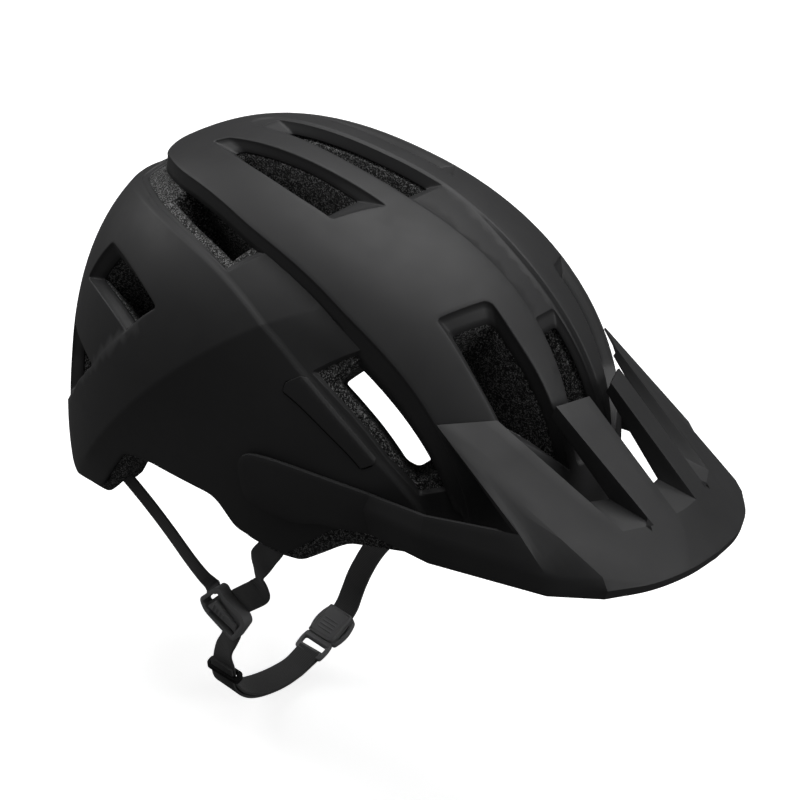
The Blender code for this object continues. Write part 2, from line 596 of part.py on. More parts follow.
def visor_sheet():
    """Outer surface of the visor's right half: named points and the faces between them."""
    arm_x = {}
    for key, (y, z) in (("pod_top", (-9, 41)), ("pod_back_top", (-4, 34)), ("pod_back_low", (-10, 16)),
                        ("pod_low", (-14, 14)), ("pod_front", (-39, 11)), ("arm_low", (-46, 16)),
                        ("arm_low_2", (-72, 17)), ("arm_top_2", (-70, 37)), ("arm_mid", (-22, 28)),
                        ("arm_mid_2", (-68, 29)), ("arm_top_1", (-42, 40)), ("arm_mid_1", (-45, 29)),
                        ("arm_low_1", (-58, 16))):
        arm_x[key] = (-side_x(y, z) - ARM_CLEAR - VISOR_WALL, y, z)
    points = dict(arm_x)
    points["arm_mid"] = (points["arm_mid"][0] - 0.8, *points["arm_mid"][1:])
    points.update({
        "lip_mid": LIP_MID, "lip_inner": LIP_INNER, "lip_near": LIP_NEAR, "lip_corner": LIP_CORNER,
        "r2_in": RIB_IN_TIP[0], "r2_out": RIB_IN_TIP[1], "r2_in_foot": RIB_IN_FOOT[0], "r2_out_foot": RIB_IN_FOOT[1],
        "r1_in": RIB_OUT_TIP[0], "r1_out": RIB_OUT_TIP[1], "r1_foot": RIB_OUT_FOOT,
        "mid_foot": (0, -186, 46), "gap_out": GAP_FLOOR[0], "gap_in": GAP_FLOOR[1],
        "mid_floor": MID_FLOOR, "mid_floor_0": (0, -166, 49),
        "wing": WING, "crease": (-61, -180, 33), "arm_low_4": (-74, -161, 20), "arm_mid_4": (-75.5, -160, 31),
        "arm_top_3": (-90, -102, 42), "arm_mid_3": (-91.5, -103, 33), "arm_low_3": (-89, -107, 19),
        "lip_drop_mid": (0, -204.5, 27), "lip_drop_inner": (-22, -202.5, 26.5), "lip_drop_near": (-43, -195.5, 25),
        "lip_drop_corner": (-61.5, -183, 23),
        "w_r1_in": (-50, -110.5, 78), "w_r1_out": (-77, -92, 72),
        "w_r2_out": (-28, -124, 77), "w_r2_in": (-12, -130, 79),
    })
    faces = [
        ("r2_in", "r2_out", "r2_out_foot", "r2_in_foot"),
        ("r1_in", "r1_out", "crease", "lip_near", "r1_foot"),
        ("mid_foot", "r2_in_foot", "lip_inner", "lip_mid"),
        ("r2_in_foot", "r2_out_foot", "r1_foot", "lip_near", "lip_inner"),
        ("crease", "lip_corner", "lip_near"),
        ("r1_foot", "r2_out_foot", "gap_in", "gap_out"),
        ("mid_foot", "r2_in_foot", "mid_floor", "mid_floor_0"),
        ("r1_in", "r1_foot", "gap_out", "w_r1_in"),
        ("r2_out", "r2_out_foot", "gap_in", "w_r2_out"),
        ("r2_in", "r2_in_foot", "mid_floor", "w_r2_in"),
        ("r1_out", "wing", "arm_mid_4", "crease"),
        ("r1_out", "w_r1_out", "wing"),
        ("wing", "arm_top_3", "arm_mid_3", "arm_mid_4"),
        ("arm_mid_4", "arm_mid_3", "arm_low_3", "arm_low_4"),
        ("crease", "arm_mid_4", "arm_low_4", "lip_drop_corner", "lip_corner"),
        ("arm_top_3", "arm_top_2", "arm_mid_2", "arm_mid_3"),
        ("arm_mid_3", "arm_mid_2", "arm_low_2", "arm_low_3"),
        ("arm_top_2", "arm_top_1", "arm_mid_1", "arm_mid_2"),
        ("arm_top_1", "pod_top", "arm_mid", "arm_mid_1"),
        ("arm_mid_2", "arm_mid_1", "arm_low_1", "arm_low_2"),
        ("arm_mid_1", "arm_mid", "arm_low", "arm_low_1"),
        ("pod_top", "pod_back_top", "arm_mid"),
        ("pod_back_top", "pod_back_low", "arm_mid"),
        ("pod_back_low", "pod_low", "arm_mid"),
        ("pod_low", "pod_front", "arm_mid"),
        ("pod_front", "arm_low", "arm_mid"),
        ("lip_mid", "lip_inner", "lip_drop_inner", "lip_drop_mid"),
        ("lip_inner", "lip_near", "lip_drop_near", "lip_drop_inner"),
        ("lip_near", "lip_corner", "lip_drop_corner", "lip_drop_near"),
    ]
    return points, faces


def make_visor(holder, paint):
    points, faces = visor_sheet()
    names = list(points)
    verts = [points[n] for n in names] + [(-points[n][0], *points[n][1:]) for n in names]
    count = len(names)
    index = {n: i for i, n in enumerate(names)}
    quads = [[index[n] for n in face] for face in faces]
    quads += [[i + count for i in reversed(face)] for face in quads]
    visor = open_sheet("visor", verts, quads, paint, holder)
    on_axis(visor, "visor", (0, PIVOT_Y, PIVOT_Z), holder)
    wall = visor.modifiers.new("wall", "SOLIDIFY")
    wall.thickness = VISOR_WALL * MM
    wall.offset = -1
    wall.use_even_offset = True
    for side, sign in (("left", 1), ("right", -1)):
        x = side_x(PIVOT_Y, PIVOT_Z) + 3 * GAP
        disc("visor_boss_" + side, (sign * x, PIVOT_Y, PIVOT_Z), (sign, 0, 0), BOSS_RADIUS, BOSS_LENGTH, paint, holder)


def open_sheet(name, verts, faces, paint, holder):
    """A sheet that a Solidify modifier thickens; its faces are turned to look up and outward."""
    made = add_mesh(name, verts, faces, paint, holder)
    bm = bmesh.new()
    bm.from_mesh(made.data)
    bmesh.ops.recalc_face_normals(bm, faces=bm.faces)
    top = max(bm.faces, key=lambda f: f.calc_center_median().z)
    if top.normal.z < 0:
        bmesh.ops.reverse_faces(bm, faces=bm.faces)
    bm.to_mesh(made.data)
    bm.free()
    return made


def frame_at(origin, along, across):
    """A placement whose Z runs along, X across, and Y is the face's normal."""
    z = Vector(along).normalized()
    x = (Vector(across) - Vector(across).dot(z) * z).normalized()
    y = z.cross(x)
    place = Matrix((x, y, z)).transposed().to_4x4()
    place.translation = Vector(origin)
    return place


def placed(points, place):
    return [tuple(place @ Vector(p)) for p in points]


def disc(name, centre, axis, radius, length, paint, holder, count=24):
    place = frame_at(centre, axis, (0, 0.6, 0.8) if abs(axis[0]) > 0.5 else (1, 0, 0))
    ring = [(radius * math.cos(t), radius * math.sin(t)) for t in np.linspace(0, 2 * math.pi, count + 1)[:-1]]
    ends = [placed([(x, y, z) for x, y in ring], place) for z in (0, length)]
    return prism(name, *ends, paint, holder)


def plate(name, outline, place, low, high, paint, holder):
    """A flat plate: an outline in the placement's X and Z, thick along its Y."""
    sides = [placed([(x, y, z) for x, z in outline], place) for y in (low, high)]
    return prism(name, *sides, paint, holder)


# ---------------------------------------------------------------- retention cradle
def ribbon(name, spine, across, width, thick, paint, holder):
    """A flat band swept along a spine, with the direction of its width at each point."""
    verts, faces = [], []
    spine = [Vector(p) for p in spine]
    for i, p in enumerate(spine):
        along = (spine[min(i + 1, len(spine) - 1)] - spine[max(i - 1, 0)]).normalized()
        side = Vector(across[i])
        side = (side - side.dot(along) * along).normalized()
        face = along.cross(side)
        corners = ((-1, -1), (1, -1), (1, 1), (-1, 1))
        verts += [tuple(p + side * a * width / 2 + face * b * thick / 2) for a, b in corners]
    for i in range(len(spine) - 1):
        faces += [(4 * i + k, 4 * i + (k + 1) % 4, 4 * i + 4 + (k + 1) % 4, 4 * i + 4 + k) for k in range(4)]
    faces += [(0, 1, 2, 3), tuple(4 * len(spine) - 4 + k for k in range(4))]
    return add_mesh(name, verts, faces, paint, holder)


def blended(values, count):
    """Vectors along a smoothed line, turned evenly between the given ones."""
    out = []
    for a, b in zip(values[:-1], values[1:]):
        out += [Vector(a).lerp(Vector(b), k / count) for k in range(count)]
    return out + [Vector(values[-1])]


# the plate behind the nape, with wings that reach down and out: (x, height), and its two faces' y
YOKE_FACES = (93.2, 95.8)
YOKE = ((-26, -38), (-12, -35), (12, -35), (26, -38), (29, -31), (23, -12), (9, -7), (-9, -7), (-23, -12), (-29, -31))
# each arm from its rack behind the head to the temple: (distance from the midline, y)
ARM_PATH = ((4, 98), (20, 98), (36, 97.5), (46, 88.5), (54.2, 77), (58.2, 71), (61, 61), (66.5, 42), (69.5, 20))
ARM_HEIGHT, ARM_THICK = 7.5, 1.8
RACK_UP, RACK_DOWN, TEMPLE_Z = -17.5, -27.5, 13.0
ARM_RISE_START, ARM_RISE_RUN, ARM_RISE_POWER = 37, 28, 0.8
RACK_TUNNEL_FACES, RACK_TUNNEL_HALF = (96.7, 99.3), 4.1
GUIDE_SLOT = ((-8.4, 103, 18), (8.4, 105.4, 50))
SPINE_LOW, SPINE_HIGH = (-7.8, 102.0, -10.2), (7.8, 105.0, 38)
HOUSING_LOW, HOUSING_HIGH = (-22, 96.1, -34.5), (22, 107, -10.5)
DIAL_AT, DIAL_RADIUS, DIAL_LENGTH = (0, 107.4, -22.5), 15, 9


def make_retention(holder, plastic, rubber):
    guide_block = box("height_guide", GUIDE_LOW, GUIDE_HIGH, plastic, holder)
    boolean(guide_block, guide(box("cut_guide_slot", *GUIDE_SLOT, None, holder)))
    yoke = prism("cradle_yoke", *[[(x, y, z) for x, z in YOKE] for y in YOKE_FACES], plastic, holder)
    bevelled(yoke, 1.0)
    spine = box("height_spine", SPINE_LOW, SPINE_HIGH, plastic, holder)
    housing = box("dial_housing", HOUSING_LOW, HOUSING_HIGH, plastic, holder)
    bevelled(housing, 1.2)
    inner, outer = RACK_TUNNEL_FACES
    for title, height in (("upper", RACK_UP), ("lower", RACK_DOWN)):
        tunnel = box("cut_rack_" + title, (-30, inner, height - RACK_TUNNEL_HALF),
                     (30, outer, height + RACK_TUNNEL_HALF), None, holder)
        boolean(housing, guide(tunnel))
    knob = disc("dial_knob", DIAL_AT, (0, 1, 0), DIAL_RADIUS, DIAL_LENGTH, rubber, holder, 36)
    bevelled(knob, 1.2)
    on_axis(knob, "dial_knob", DIAL_AT, holder)
    for piece in (yoke, spine):
        on_axis(piece, piece.name, (0, 102, 0), holder)
    for side, sign, height in (("left", 1, RACK_UP), ("right", -1, RACK_DOWN)):
        path = []
        for reach, y in smooth_line(ARM_PATH, 3):
            share = min(max((reach - ARM_RISE_START) / ARM_RISE_RUN, 0), 1)
            path.append(Vector((sign * reach, y, height + (TEMPLE_Z - height) * share ** ARM_RISE_POWER)))
        arm = ribbon("cradle_arm_" + side, path, [(0, 0, 1)] * len(path), ARM_HEIGHT, ARM_THICK, plastic, holder)
        on_axis(arm, arm.name, (0, 98, height), holder)


# ---------------------------------------------------------------- straps and their hardware
# each anchor: where the webbing enters the foam, its direction upward, and its width's direction
FRONT_ANCHOR = ((-84, -20, -13), (-0.1, -0.15, 1), (0.25, 1, 0.1))
REAR_ANCHOR = ((-79, 79, -25), (-0.03, 0.78, 0.63), (-0.35, -0.59, 0.73))
REAR_STRAP = ((-79.3, 84.5, -20.6), (-79, 79, -25), (-78, 54, -45), (-76.2, 28.0, -66.0))
REAR_ACROSS = ((-0.35, -0.59, 0.73), (-0.35, -0.59, 0.73), (-0.3, -0.6, 0.74), (0, -0.54, 0.84))
FRONT_STRAP = ((-84.6, -20.8, -5), (-84, -20, -13), (-80.5, -15, -29), (-78, -11, -40), (-77, -6, -47),
               (-76, 6.2, -54), (-75.6, 12.6, -64))
FRONT_ACROSS = ((0.25, 1, 0.1), (0.25, 1, 0.1), (0.25, 1, 0.2), (0.15, 1, 0.4), (0.1, 0.8, 0.5), (0, 0.84, 0.54),
                (0, 0.84, 0.54))
ANCHOR_LOW, ANCHOR_HIGH = (-8.4, -1.8, 9.2), (8.4, 1.8, 13)
# the plate where the two straps of a side meet: (y, height), its middle, and its two faces' x
DIVIDER = ((29, -71), (22, -60), (5, -71), (7, -88), (21, -86))
DIVIDER_MIDDLE = (17, -75.5)
DIVIDER_X = (-73.6, -77.6)
SLOT_INSET, SLOT_WIDTH = 1.8, 2.2


def slots_of_divider():
    """Three slots beside the divider's edges that webbing enters."""
    cuts = []
    for a, b in ((0, 1), (1, 2), (3, 4)):
        p, q = Vector(DIVIDER[a]), Vector(DIVIDER[b])
        along = (q - p).normalized()
        inward = Vector((along.y, -along.x))
        if (Vector(DIVIDER_MIDDLE) - p).dot(inward) < 0:
            inward = -inward
        trim = 1.6 if (q - p).length > 15 else 1.2
        start, stop = p + along * trim + inward * SLOT_INSET, q - along * trim + inward * SLOT_INSET
        cuts.append((start, stop, stop + inward * SLOT_WIDTH, start + inward * SLOT_WIDTH))
    return cuts


def yz_plate(name, outline, x_low, x_high, paint, holder):
    return prism(name, [(x_low, *p) for p in outline], [(x_high, *p) for p in outline], paint, holder)


LEVER = ((23.5, -69.5), (19.6, -63.6), (9.5, -73), (11, -82.5), (15, -81.5))
LEVER_PIN = (21.55, -66.55)
LEVER_GAP, LEVER_THICK = 0.7, 2.3


def make_straps(holder, webbing, plastic):
    for side, sign in (("left", 1), ("right", -1)):
        def at(p):
            return mirror_x(p, sign)
        ribbon("rear_strap_" + side, [at(p) for p in REAR_STRAP], [at(p) for p in REAR_ACROSS],
               WEBBING_WIDTH, WEBBING_THICK, webbing, holder)
        spine = smooth_line([at(p) for p in FRONT_STRAP], 3)
        across = blended([at(p) for p in FRONT_ACROSS], 3)
        ribbon("front_strap_" + side, spine, across, WEBBING_WIDTH, WEBBING_THICK, webbing, holder)
        frame = yz_plate("strap_divider_" + side, DIVIDER, sign * -DIVIDER_X[0], sign * -DIVIDER_X[1], plastic, holder)
        for k, cut in enumerate(slots_of_divider()):
            boolean(frame, guide(yz_plate("cut_slot_%s_%d" % (side, k), cut, sign * 70, sign * 82, None, holder)))
        x_inner = sign * (LEVER_GAP - DIVIDER_X[1])
        x_outer = x_inner + sign * LEVER_THICK
        lever = yz_plate("cam_lever_" + side, LEVER, x_inner, x_outer, plastic, holder)
        on_axis(lever, lever.name, (x_inner, *LEVER_PIN), holder)
        for title, (point, along, wide) in (("front", FRONT_ANCHOR), ("rear", REAR_ANCHOR)):
            place = frame_at(at(point), at(along), at(wide))
            add_mesh("strap_anchor_%s_%s" % (title, side), placed(box_points(ANCHOR_LOW, ANCHOR_HIGH), place),
                     BOX_FACES, plastic, holder)
    make_chin_strap(holder, webbing, plastic)


CHIN = ((-74, 14.6, -88.4), (-71.6, 16.6, -96), (-68.1, 18.5, -104.4), (-62.5, 21, -117), (-56.9, 23.5, -129.6),
        (-49.5, 25, -139), (-36, 25.3, -144.5), (-14, 24, -148.8), (2.2, 23, -148))
CHIN_LEFT = ((37.5, 20, -128.5), (50, 19, -118), (62, 17.5, -104), (70, 16, -95), (74, 14.6, -88.2))
KEEPER_AT, KEEPER_ALONG = (-62.5, 21, -117), (5.6, 2.5, -12.6)
KEEPER_LOW, KEEPER_HIGH = (-9.6, -2.6, -3), (9.6, 2.6, 3)
KEEPER_HOLE_LOW, KEEPER_HOLE_HIGH = (-7.9, -1.35, -9), (7.9, 1.35, 9)
STRAP_ACROSS = (0, 0.9, -0.35)
CHIN_ACROSS_TOP = (0, 0.99, 0.12)


def make_chin_strap(holder, webbing, plastic):
    for title, path in (("right", CHIN), ("left", CHIN_LEFT)):
        spine = smooth_line(path, 3)
        ends = [CHIN_ACROSS_TOP, STRAP_ACROSS] if title == "right" else [STRAP_ACROSS, CHIN_ACROSS_TOP]
        across = [Vector(ends[0]).lerp(Vector(ends[1]), i / (len(spine) - 1)) for i in range(len(spine))]
        ribbon("chin_strap_" + title, spine, across, WEBBING_WIDTH, WEBBING_THICK, webbing, holder)
    ring = frame_at(KEEPER_AT, KEEPER_ALONG, (0, 0.96, -0.05))
    keeper = add_mesh("strap_keeper", placed(box_points(KEEPER_LOW, KEEPER_HIGH), ring), BOX_FACES, plastic, holder)
    hole = add_mesh("cut_keeper", placed(box_points(KEEPER_HOLE_LOW, KEEPER_HOLE_HIGH), ring), BOX_FACES, None, holder)
    boolean(keeper, guide(hole))
    on_axis(keeper, keeper.name, KEEPER_AT, holder)
    make_buckle(holder, plastic)


# the buckle's pieces: each outline is (across the strap, along it) and its faces are given beside it
BUCKLE_AT, BUCKLE_ALONG = (19, 21.5, -138.5), (0.86, -0.08, 0.5)
CATCH, CATCH_FACES = ((-10, -17), (10, -17), (10, 1), (-10, 1)), (-1.6, 1.6)
CATCH_WINDOW, WINDOW_FACES = ((-7.4, -13.5), (7.4, -13.5), (7.4, -7), (-7.4, -7)), (-6, 6)
BODY = ((-10, 1.5), (10, 1.5), (12, 8), (12, 15), (10, 20.5), (-10, 20.5), (-12, 15), (-12, 8))
BODY_FACES = (-3.4, 3.4)
BODY_RAIL, RAIL_FACES = ((-5, 4), (5, 4), (5, 16), (-5, 16)), (-5, -1.4)
TAB, TAB_FACES = ((-3, 4.5), (1.2, 4.5), (1.2, 15.5), (-3, 15.5)), (-4.6, -1.8)


def make_buckle(holder, plastic):
    """Magnetic slide buckle: a catch on the right strap, a body on the left one, a release tab."""
    place = frame_at(BUCKLE_AT, BUCKLE_ALONG, STRAP_ACROSS)
    catch = plate("buckle_catch", CATCH, place, *CATCH_FACES, plastic, holder)
    boolean(catch, guide(plate("cut_catch_window", CATCH_WINDOW, place, *WINDOW_FACES, None, holder)))
    body = plate("buckle_body", BODY, place, *BODY_FACES, plastic, holder)
    boolean(body, guide(plate("cut_body_rail", BODY_RAIL, place, *RAIL_FACES, None, holder)))
    tab = plate("release_tab", TAB, place, *TAB_FACES, plastic, holder)
    on_axis(tab, tab.name, BUCKLE_AT, holder)


def main():
    clear_scene()
    helmet = bpy.data.objects.new("helmet", None)
    bpy.context.scene.collection.objects.link(helmet)
    helmet.location = (0, 0, -SEAT_Z * MM)
    shell = material("matte_black_shell", (0.032, 0.032, 0.033), 0.5)
    visor = material("matte_black_visor", (0.03, 0.03, 0.031), 0.55)
    foam = material("black_foam", (0.02, 0.02, 0.02), 0.85)
    fabric = material("charcoal_pad", (0.03, 0.03, 0.032), 0.95)
    webbing = material("black_webbing", (0.022, 0.022, 0.023), 0.8)
    plastic = material("dark_grey_plastic", (0.045, 0.045, 0.047), 0.45)
    make_shells(helmet, shell)
    make_liner(helmet, foam)
    make_inserts(helmet, shell)
    make_pads(helmet, fabric)
    make_visor(helmet, visor)
    make_retention(helmet, plastic, shell)
    make_straps(helmet, webbing, plastic)


if __name__ == "__main__":
    main()
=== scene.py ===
"""Finished pieces of a trail cycling helmet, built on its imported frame.

Front is -Y, the wearer's left is +X, up is +Z. Lengths in this file are millimetres and heights are
measured from the front rim, as a maker's drawing has them; world() turns them into metres above the
seat under the crown pad. Places on the curved body are two angles seen from a hub low between the
ears: sweep (0 forward, 90 up, 180 rearward) and splay (0 on the midline, positive to the left).
"""
import math

import bmesh
import bpy
import numpy as np
from mathutils import Matrix, Quaternion, Vector, geometry, kdtree

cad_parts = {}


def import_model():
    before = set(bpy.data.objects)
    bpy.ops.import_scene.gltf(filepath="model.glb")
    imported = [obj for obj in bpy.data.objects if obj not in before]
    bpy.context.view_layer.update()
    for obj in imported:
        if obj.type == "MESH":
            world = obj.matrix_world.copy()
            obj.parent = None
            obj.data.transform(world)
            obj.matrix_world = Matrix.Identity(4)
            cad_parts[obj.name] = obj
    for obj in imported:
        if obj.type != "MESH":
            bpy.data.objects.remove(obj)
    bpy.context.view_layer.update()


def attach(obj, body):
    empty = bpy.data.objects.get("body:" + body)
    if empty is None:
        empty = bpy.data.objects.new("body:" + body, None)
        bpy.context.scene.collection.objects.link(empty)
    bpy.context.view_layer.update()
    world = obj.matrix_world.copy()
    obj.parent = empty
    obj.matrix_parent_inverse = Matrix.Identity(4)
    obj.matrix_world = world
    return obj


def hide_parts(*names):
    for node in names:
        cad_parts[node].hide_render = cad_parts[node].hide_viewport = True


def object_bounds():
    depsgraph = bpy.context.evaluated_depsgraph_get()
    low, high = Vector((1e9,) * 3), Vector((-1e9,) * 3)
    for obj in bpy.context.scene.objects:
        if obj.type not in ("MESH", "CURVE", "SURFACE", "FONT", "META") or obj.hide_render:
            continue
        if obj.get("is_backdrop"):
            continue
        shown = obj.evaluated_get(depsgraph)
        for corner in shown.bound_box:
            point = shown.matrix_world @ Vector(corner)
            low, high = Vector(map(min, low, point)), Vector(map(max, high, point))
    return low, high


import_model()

bl_info = {
    "name": "Trail helmet",
    "version": (1, 0, 0),
    "blender": (4, 5, 0),
    "location": "View3D > Sidebar > Helmet",
    "description": "Builds the shells, foam, visor, pads, straps and buckle of a trail cycling helmet",
    "category": "Add Mesh",
}

MM = 0.001
SEAT_Z = 114.0

# outer form
HUB = np.array([0.0, 8.0, -35.0])
OUT_OF_REACH, HALVINGS = 320.0, 32
FORM_Y, FORM_Z = 10.0, 14.0
HALF_WIDTH, CROWN_RISE = 105.0, 139.5
FRONT_REACH, REAR_REACH = 148.0, 150.0
PLAN_FRONT, PLAN_REAR, SECTION = 2.1, 2.3, 2.42
REAR_LIFT = 0.10 / 145.0
FOLD_DEPTH, FOLD_LENGTH = 9.0, 50.0
CAVITY_MID, CAVITY_HALF = np.array([0.0, 4.0, 12.0]), np.array([82.0, 109.0, 110.0])
SCOOP_MID, SCOOP_HALF = np.array([0.0, 70.0, -38.0]), np.array([70.0, 66.0, 70.0])
BELT_ROOM_Y, BELT_ROOM_HALF = 52.0, np.array([75.0, 64.0])
BELT_ROOM_TOP, BELT_ROOM_DOME = 20.0, 12.0
FOAM_DEPTH = 2.35
DEGREES_PER_MM = 0.36
CHANNEL_DEPTH, CHANNEL_LIP = 5.2, 1.45
NAPE_HALF, NAPE_ARCH, NAPE_BULGE = 46.0, -35.2, 9.0

RIDGE = ((12, 24.5), (30, 25), (48, 25.5), (69, 26), (80, 25), (92, 23), (100, 20.8), (112, 16), (118, 12),
         (121, 8.5), (123, 0))
SIDE_EDGE = ((12, 32), (30, 33.9), (40, 36), (49, 37.7), (57, 38.3), (65, 38.2), (73.5, 37.2), (80, 35.6),
             (88, 33.1), (97, 30), (108, 25.8), (117, 21), (124, 15.5), (129, 9.5), (131, 0))
SHELL_RIM = ((-170, 13), (-72, 17), (-53, 12), (-32, -9), (-26, -10), (-3, -6), (8, 4), (13, 6), (54, 7), (69, 4),
             (90, -28), (116, -35), (190, -35))
FOAM_RIM = ((-170, 5), (-62, 6), (-56, 2), (-39, -13), (-28, -14), (-8, -11), (9, 1), (14, 3), (54, 4), (66, 1),
            (80, -24), (89, -33), (112, -38), (190, -38))


# ---------------------------------------------------------------- the form as arithmetic
def world(points):
    """Millimetres above the front rim, as metres above the seat."""
    return (np.asarray(points, float) - [0, 0, SEAT_Z]) * MM


def form_value(x, y, z):
    along = y - FORM_Y
    rise = (z - FORM_Z) / (1 + REAR_LIFT * along)
    reach = np.where(along < 0, FRONT_REACH, REAR_REACH)
    plan = np.where(along < 0, PLAN_FRONT, PLAN_REAR)
    spread = (np.abs(x / HALF_WIDTH) ** plan + np.abs(along / reach) ** plan) ** (1 / plan)
    return (spread ** SECTION + np.abs(rise / CROWN_RISE) ** SECTION) ** (1 / SECTION) - 1


def in_form(p):
    return form_value(p[:, 0], p[:, 1], p[:, 2]) < 0


def crease_height(y):
    return -35 + 1.064 * (115 - y) + 16 * (1 - ((y - 45) / 70) ** 2)


def fold_shift(y, z):
    """How far the side tucks inward under its body crease."""
    below = np.maximum(crease_height(y) - z, 0)
    return FOLD_DEPTH * (1 - np.exp(-below / FOLD_LENGTH))


def ease(value):
    t = np.clip(value, 0, 1)
    return t * t * (3 - 2 * t)


def rays(sweep, splay):
    a, b = np.radians(np.asarray(sweep, float)), np.radians(np.asarray(splay, float))
    return np.stack([np.sin(b), -np.cos(b) * np.cos(a), np.cos(b) * np.sin(a)], axis=-1)


def unit(rows):
    return rows / np.linalg.norm(rows, axis=1)[:, None]


def bend(start, corner, stop, t):
    """A point of the curve that leaves start toward a corner and ends at stop."""
    return (1 - t) ** 2 * start + 2 * t * (1 - t) * corner + t ** 2 * stop


def profile(value, table):
    """A depth read from a table of places and depths."""
    return np.interp(value, *zip(*table))


def last_inside(is_inside, place, near):
    """The farthest reach at which each place is still inside, found by halving."""
    far = np.full(len(near), OUT_OF_REACH)
    for _ in range(HALVINGS):
        mid = (near + far) / 2
        held = is_inside(place(mid))
        near, far = np.where(held, mid, near), np.where(held, far, mid)
    return near


def reach_along(directions, is_inside):
    """Where rays from the hub leave a hollow or a body."""
    return last_inside(is_inside, lambda reach: HUB + reach[:, None] * directions, np.full(len(directions), 15.0))


def on_skin(angles, depth=0.0):
    """Points of the outer form at sweep and splay, moved in by depth."""
    d = rays(*angles.T)
    p = HUB + reach_along(d, in_form)[:, None] * d
    fold = ease((np.abs(angles[:, 1]) - 27) / 7) * fold_shift(p[:, 1], p[:, 2])
    p[:, 0] -= np.sign(d[:, 0]) * fold
    outward = unit((p - [0, HUB[1], FORM_Z]) / [1.0, 1.9, 1.6])
    return p - np.asarray(depth, float).reshape(-1, 1) * outward


def in_cavity(p):
    q = (p - CAVITY_MID) / CAVITY_HALF
    q[:, 2] = np.maximum(q[:, 2], 0)
    s = (p - SCOOP_MID) / SCOOP_HALF
    belt = (p[:, :2] - [0, BELT_ROOM_Y]) / BELT_ROOM_HALF
    dome = np.maximum(p[:, 2] - BELT_ROOM_TOP, 0) / BELT_ROOM_DOME
    return ((q ** 2).sum(1) < 1) | ((s ** 2).sum(1) < 1) | ((belt ** 2).sum(1) + dome ** 2 < 1)


def cavity(angles):
    """Points of the head space's wall at sweep and splay."""
    d = rays(*angles.T)
    return HUB + reach_along(d, in_cavity)[:, None] * d


def angles_of(points):
    """Sweep and splay of points seen from the hub."""
    v = np.asarray(points, float) - HUB
    splay = np.degrees(np.arcsin(v[:, 0] / np.linalg.norm(v, axis=1)))
    return np.stack([np.degrees(np.arctan2(v[:, 2], -v[:, 1])) % 360, splay], axis=1)


def flat_map(angles):
    """The hub's view laid out flat round the crown, where patches are meshed."""
    d = rays(angles[:, 0], angles[:, 1])
    polar = np.degrees(np.arccos(np.clip(d[:, 2], -1, 1)))
    size = np.maximum(np.hypot(d[:, 0], d[:, 1]), 1e-9)
    return np.stack([polar * d[:, 0] / size, polar * d[:, 1] / size], axis=1)


def angles_from_flat(flat):
    polar = np.maximum(np.hypot(flat[:, 0], flat[:, 1]), 1e-9)
    sine = np.sin(np.radians(polar))
    d = np.stack([sine * flat[:, 0] / polar, sine * flat[:, 1] / polar, np.cos(np.radians(polar))], axis=1)
    return np.stack([np.degrees(np.arctan2(d[:, 2], -d[:, 1])) % 360,
                     np.degrees(np.arcsin(np.clip(d[:, 0], -1, 1)))], axis=1)


def mm_per_degree(angles):
    radius = np.linalg.norm(on_skin(angles) - HUB, axis=1)
    scale = radius * math.pi / 180
    return np.stack([scale * np.cos(np.radians(angles[:, 1])), scale], axis=1)


def smooth_line(points, count):
    """Points of a smooth curve through the given ones, evenly shared between them."""
    pts = [np.array(p, float) for p in points]
    pts = [2 * pts[0] - pts[1]] + pts + [2 * pts[-1] - pts[-2]]
    line = []
    for i in range(1, len(pts) - 2):
        a, b, c, d = pts[i - 1:i + 3]
        for k in range(count):
            t = k / count
            line.append(0.5 * (2 * b + (c - a) * t + (2 * a - 5 * b + 4 * c - d) * t ** 2
                               + (3 * b - a - 3 * c + d) * t ** 3))
    line.append(pts[-2])
    return np.array(line)


def mirrored(corners):
    return [(c[0], -c[1], *c[2:]) for c in corners]


def whole(half):
    """An outline across the midline from its left half."""
    return [*half, *mirrored(half[::-1])]


def rounded(corners, samples=None, step=2.4):
    """A closed outline in degrees with rounded corners; a corner may carry its radius in millimetres.

    Returns the outline and how many points each edge took, so that a partner can be cut alike."""
    pts = np.array([c[:2] for c in corners], float)
    scale = mm_per_degree(pts.mean(axis=0)[None])[0]
    p = pts * scale
    count, cuts, line, taken = len(p), [], [], []
    for i, corner in enumerate(corners):
        radius = corner[2] if len(corner) > 2 else 1.6
        room = 0.45 * min(np.linalg.norm(p[i - 1] - p[i]), np.linalg.norm(p[i] - p[(i + 1) % count]))
        cuts.append(min(radius * 1.2, room))
    for i in range(count):
        before, here, after = p[i - 1], p[i], p[(i + 1) % count]
        start = here + (before - here) / np.linalg.norm(before - here) * cuts[i]
        stop = here + (after - here) / np.linalg.norm(after - here) * cuts[i]
        line += [bend(start, here, stop, t) for t in np.linspace(0, 1, 5)]
        between = samples[i] if samples else max(int(np.linalg.norm(after - stop) / step) - 1, 1)
        taken.append(between)
        end = after + (here - after) / np.linalg.norm(here - after) * cuts[(i + 1) % count]
        line += [stop + (end - stop) * t for t in np.linspace(0, 1, between + 2)[1:-1]]
    return np.array(line) / scale, taken


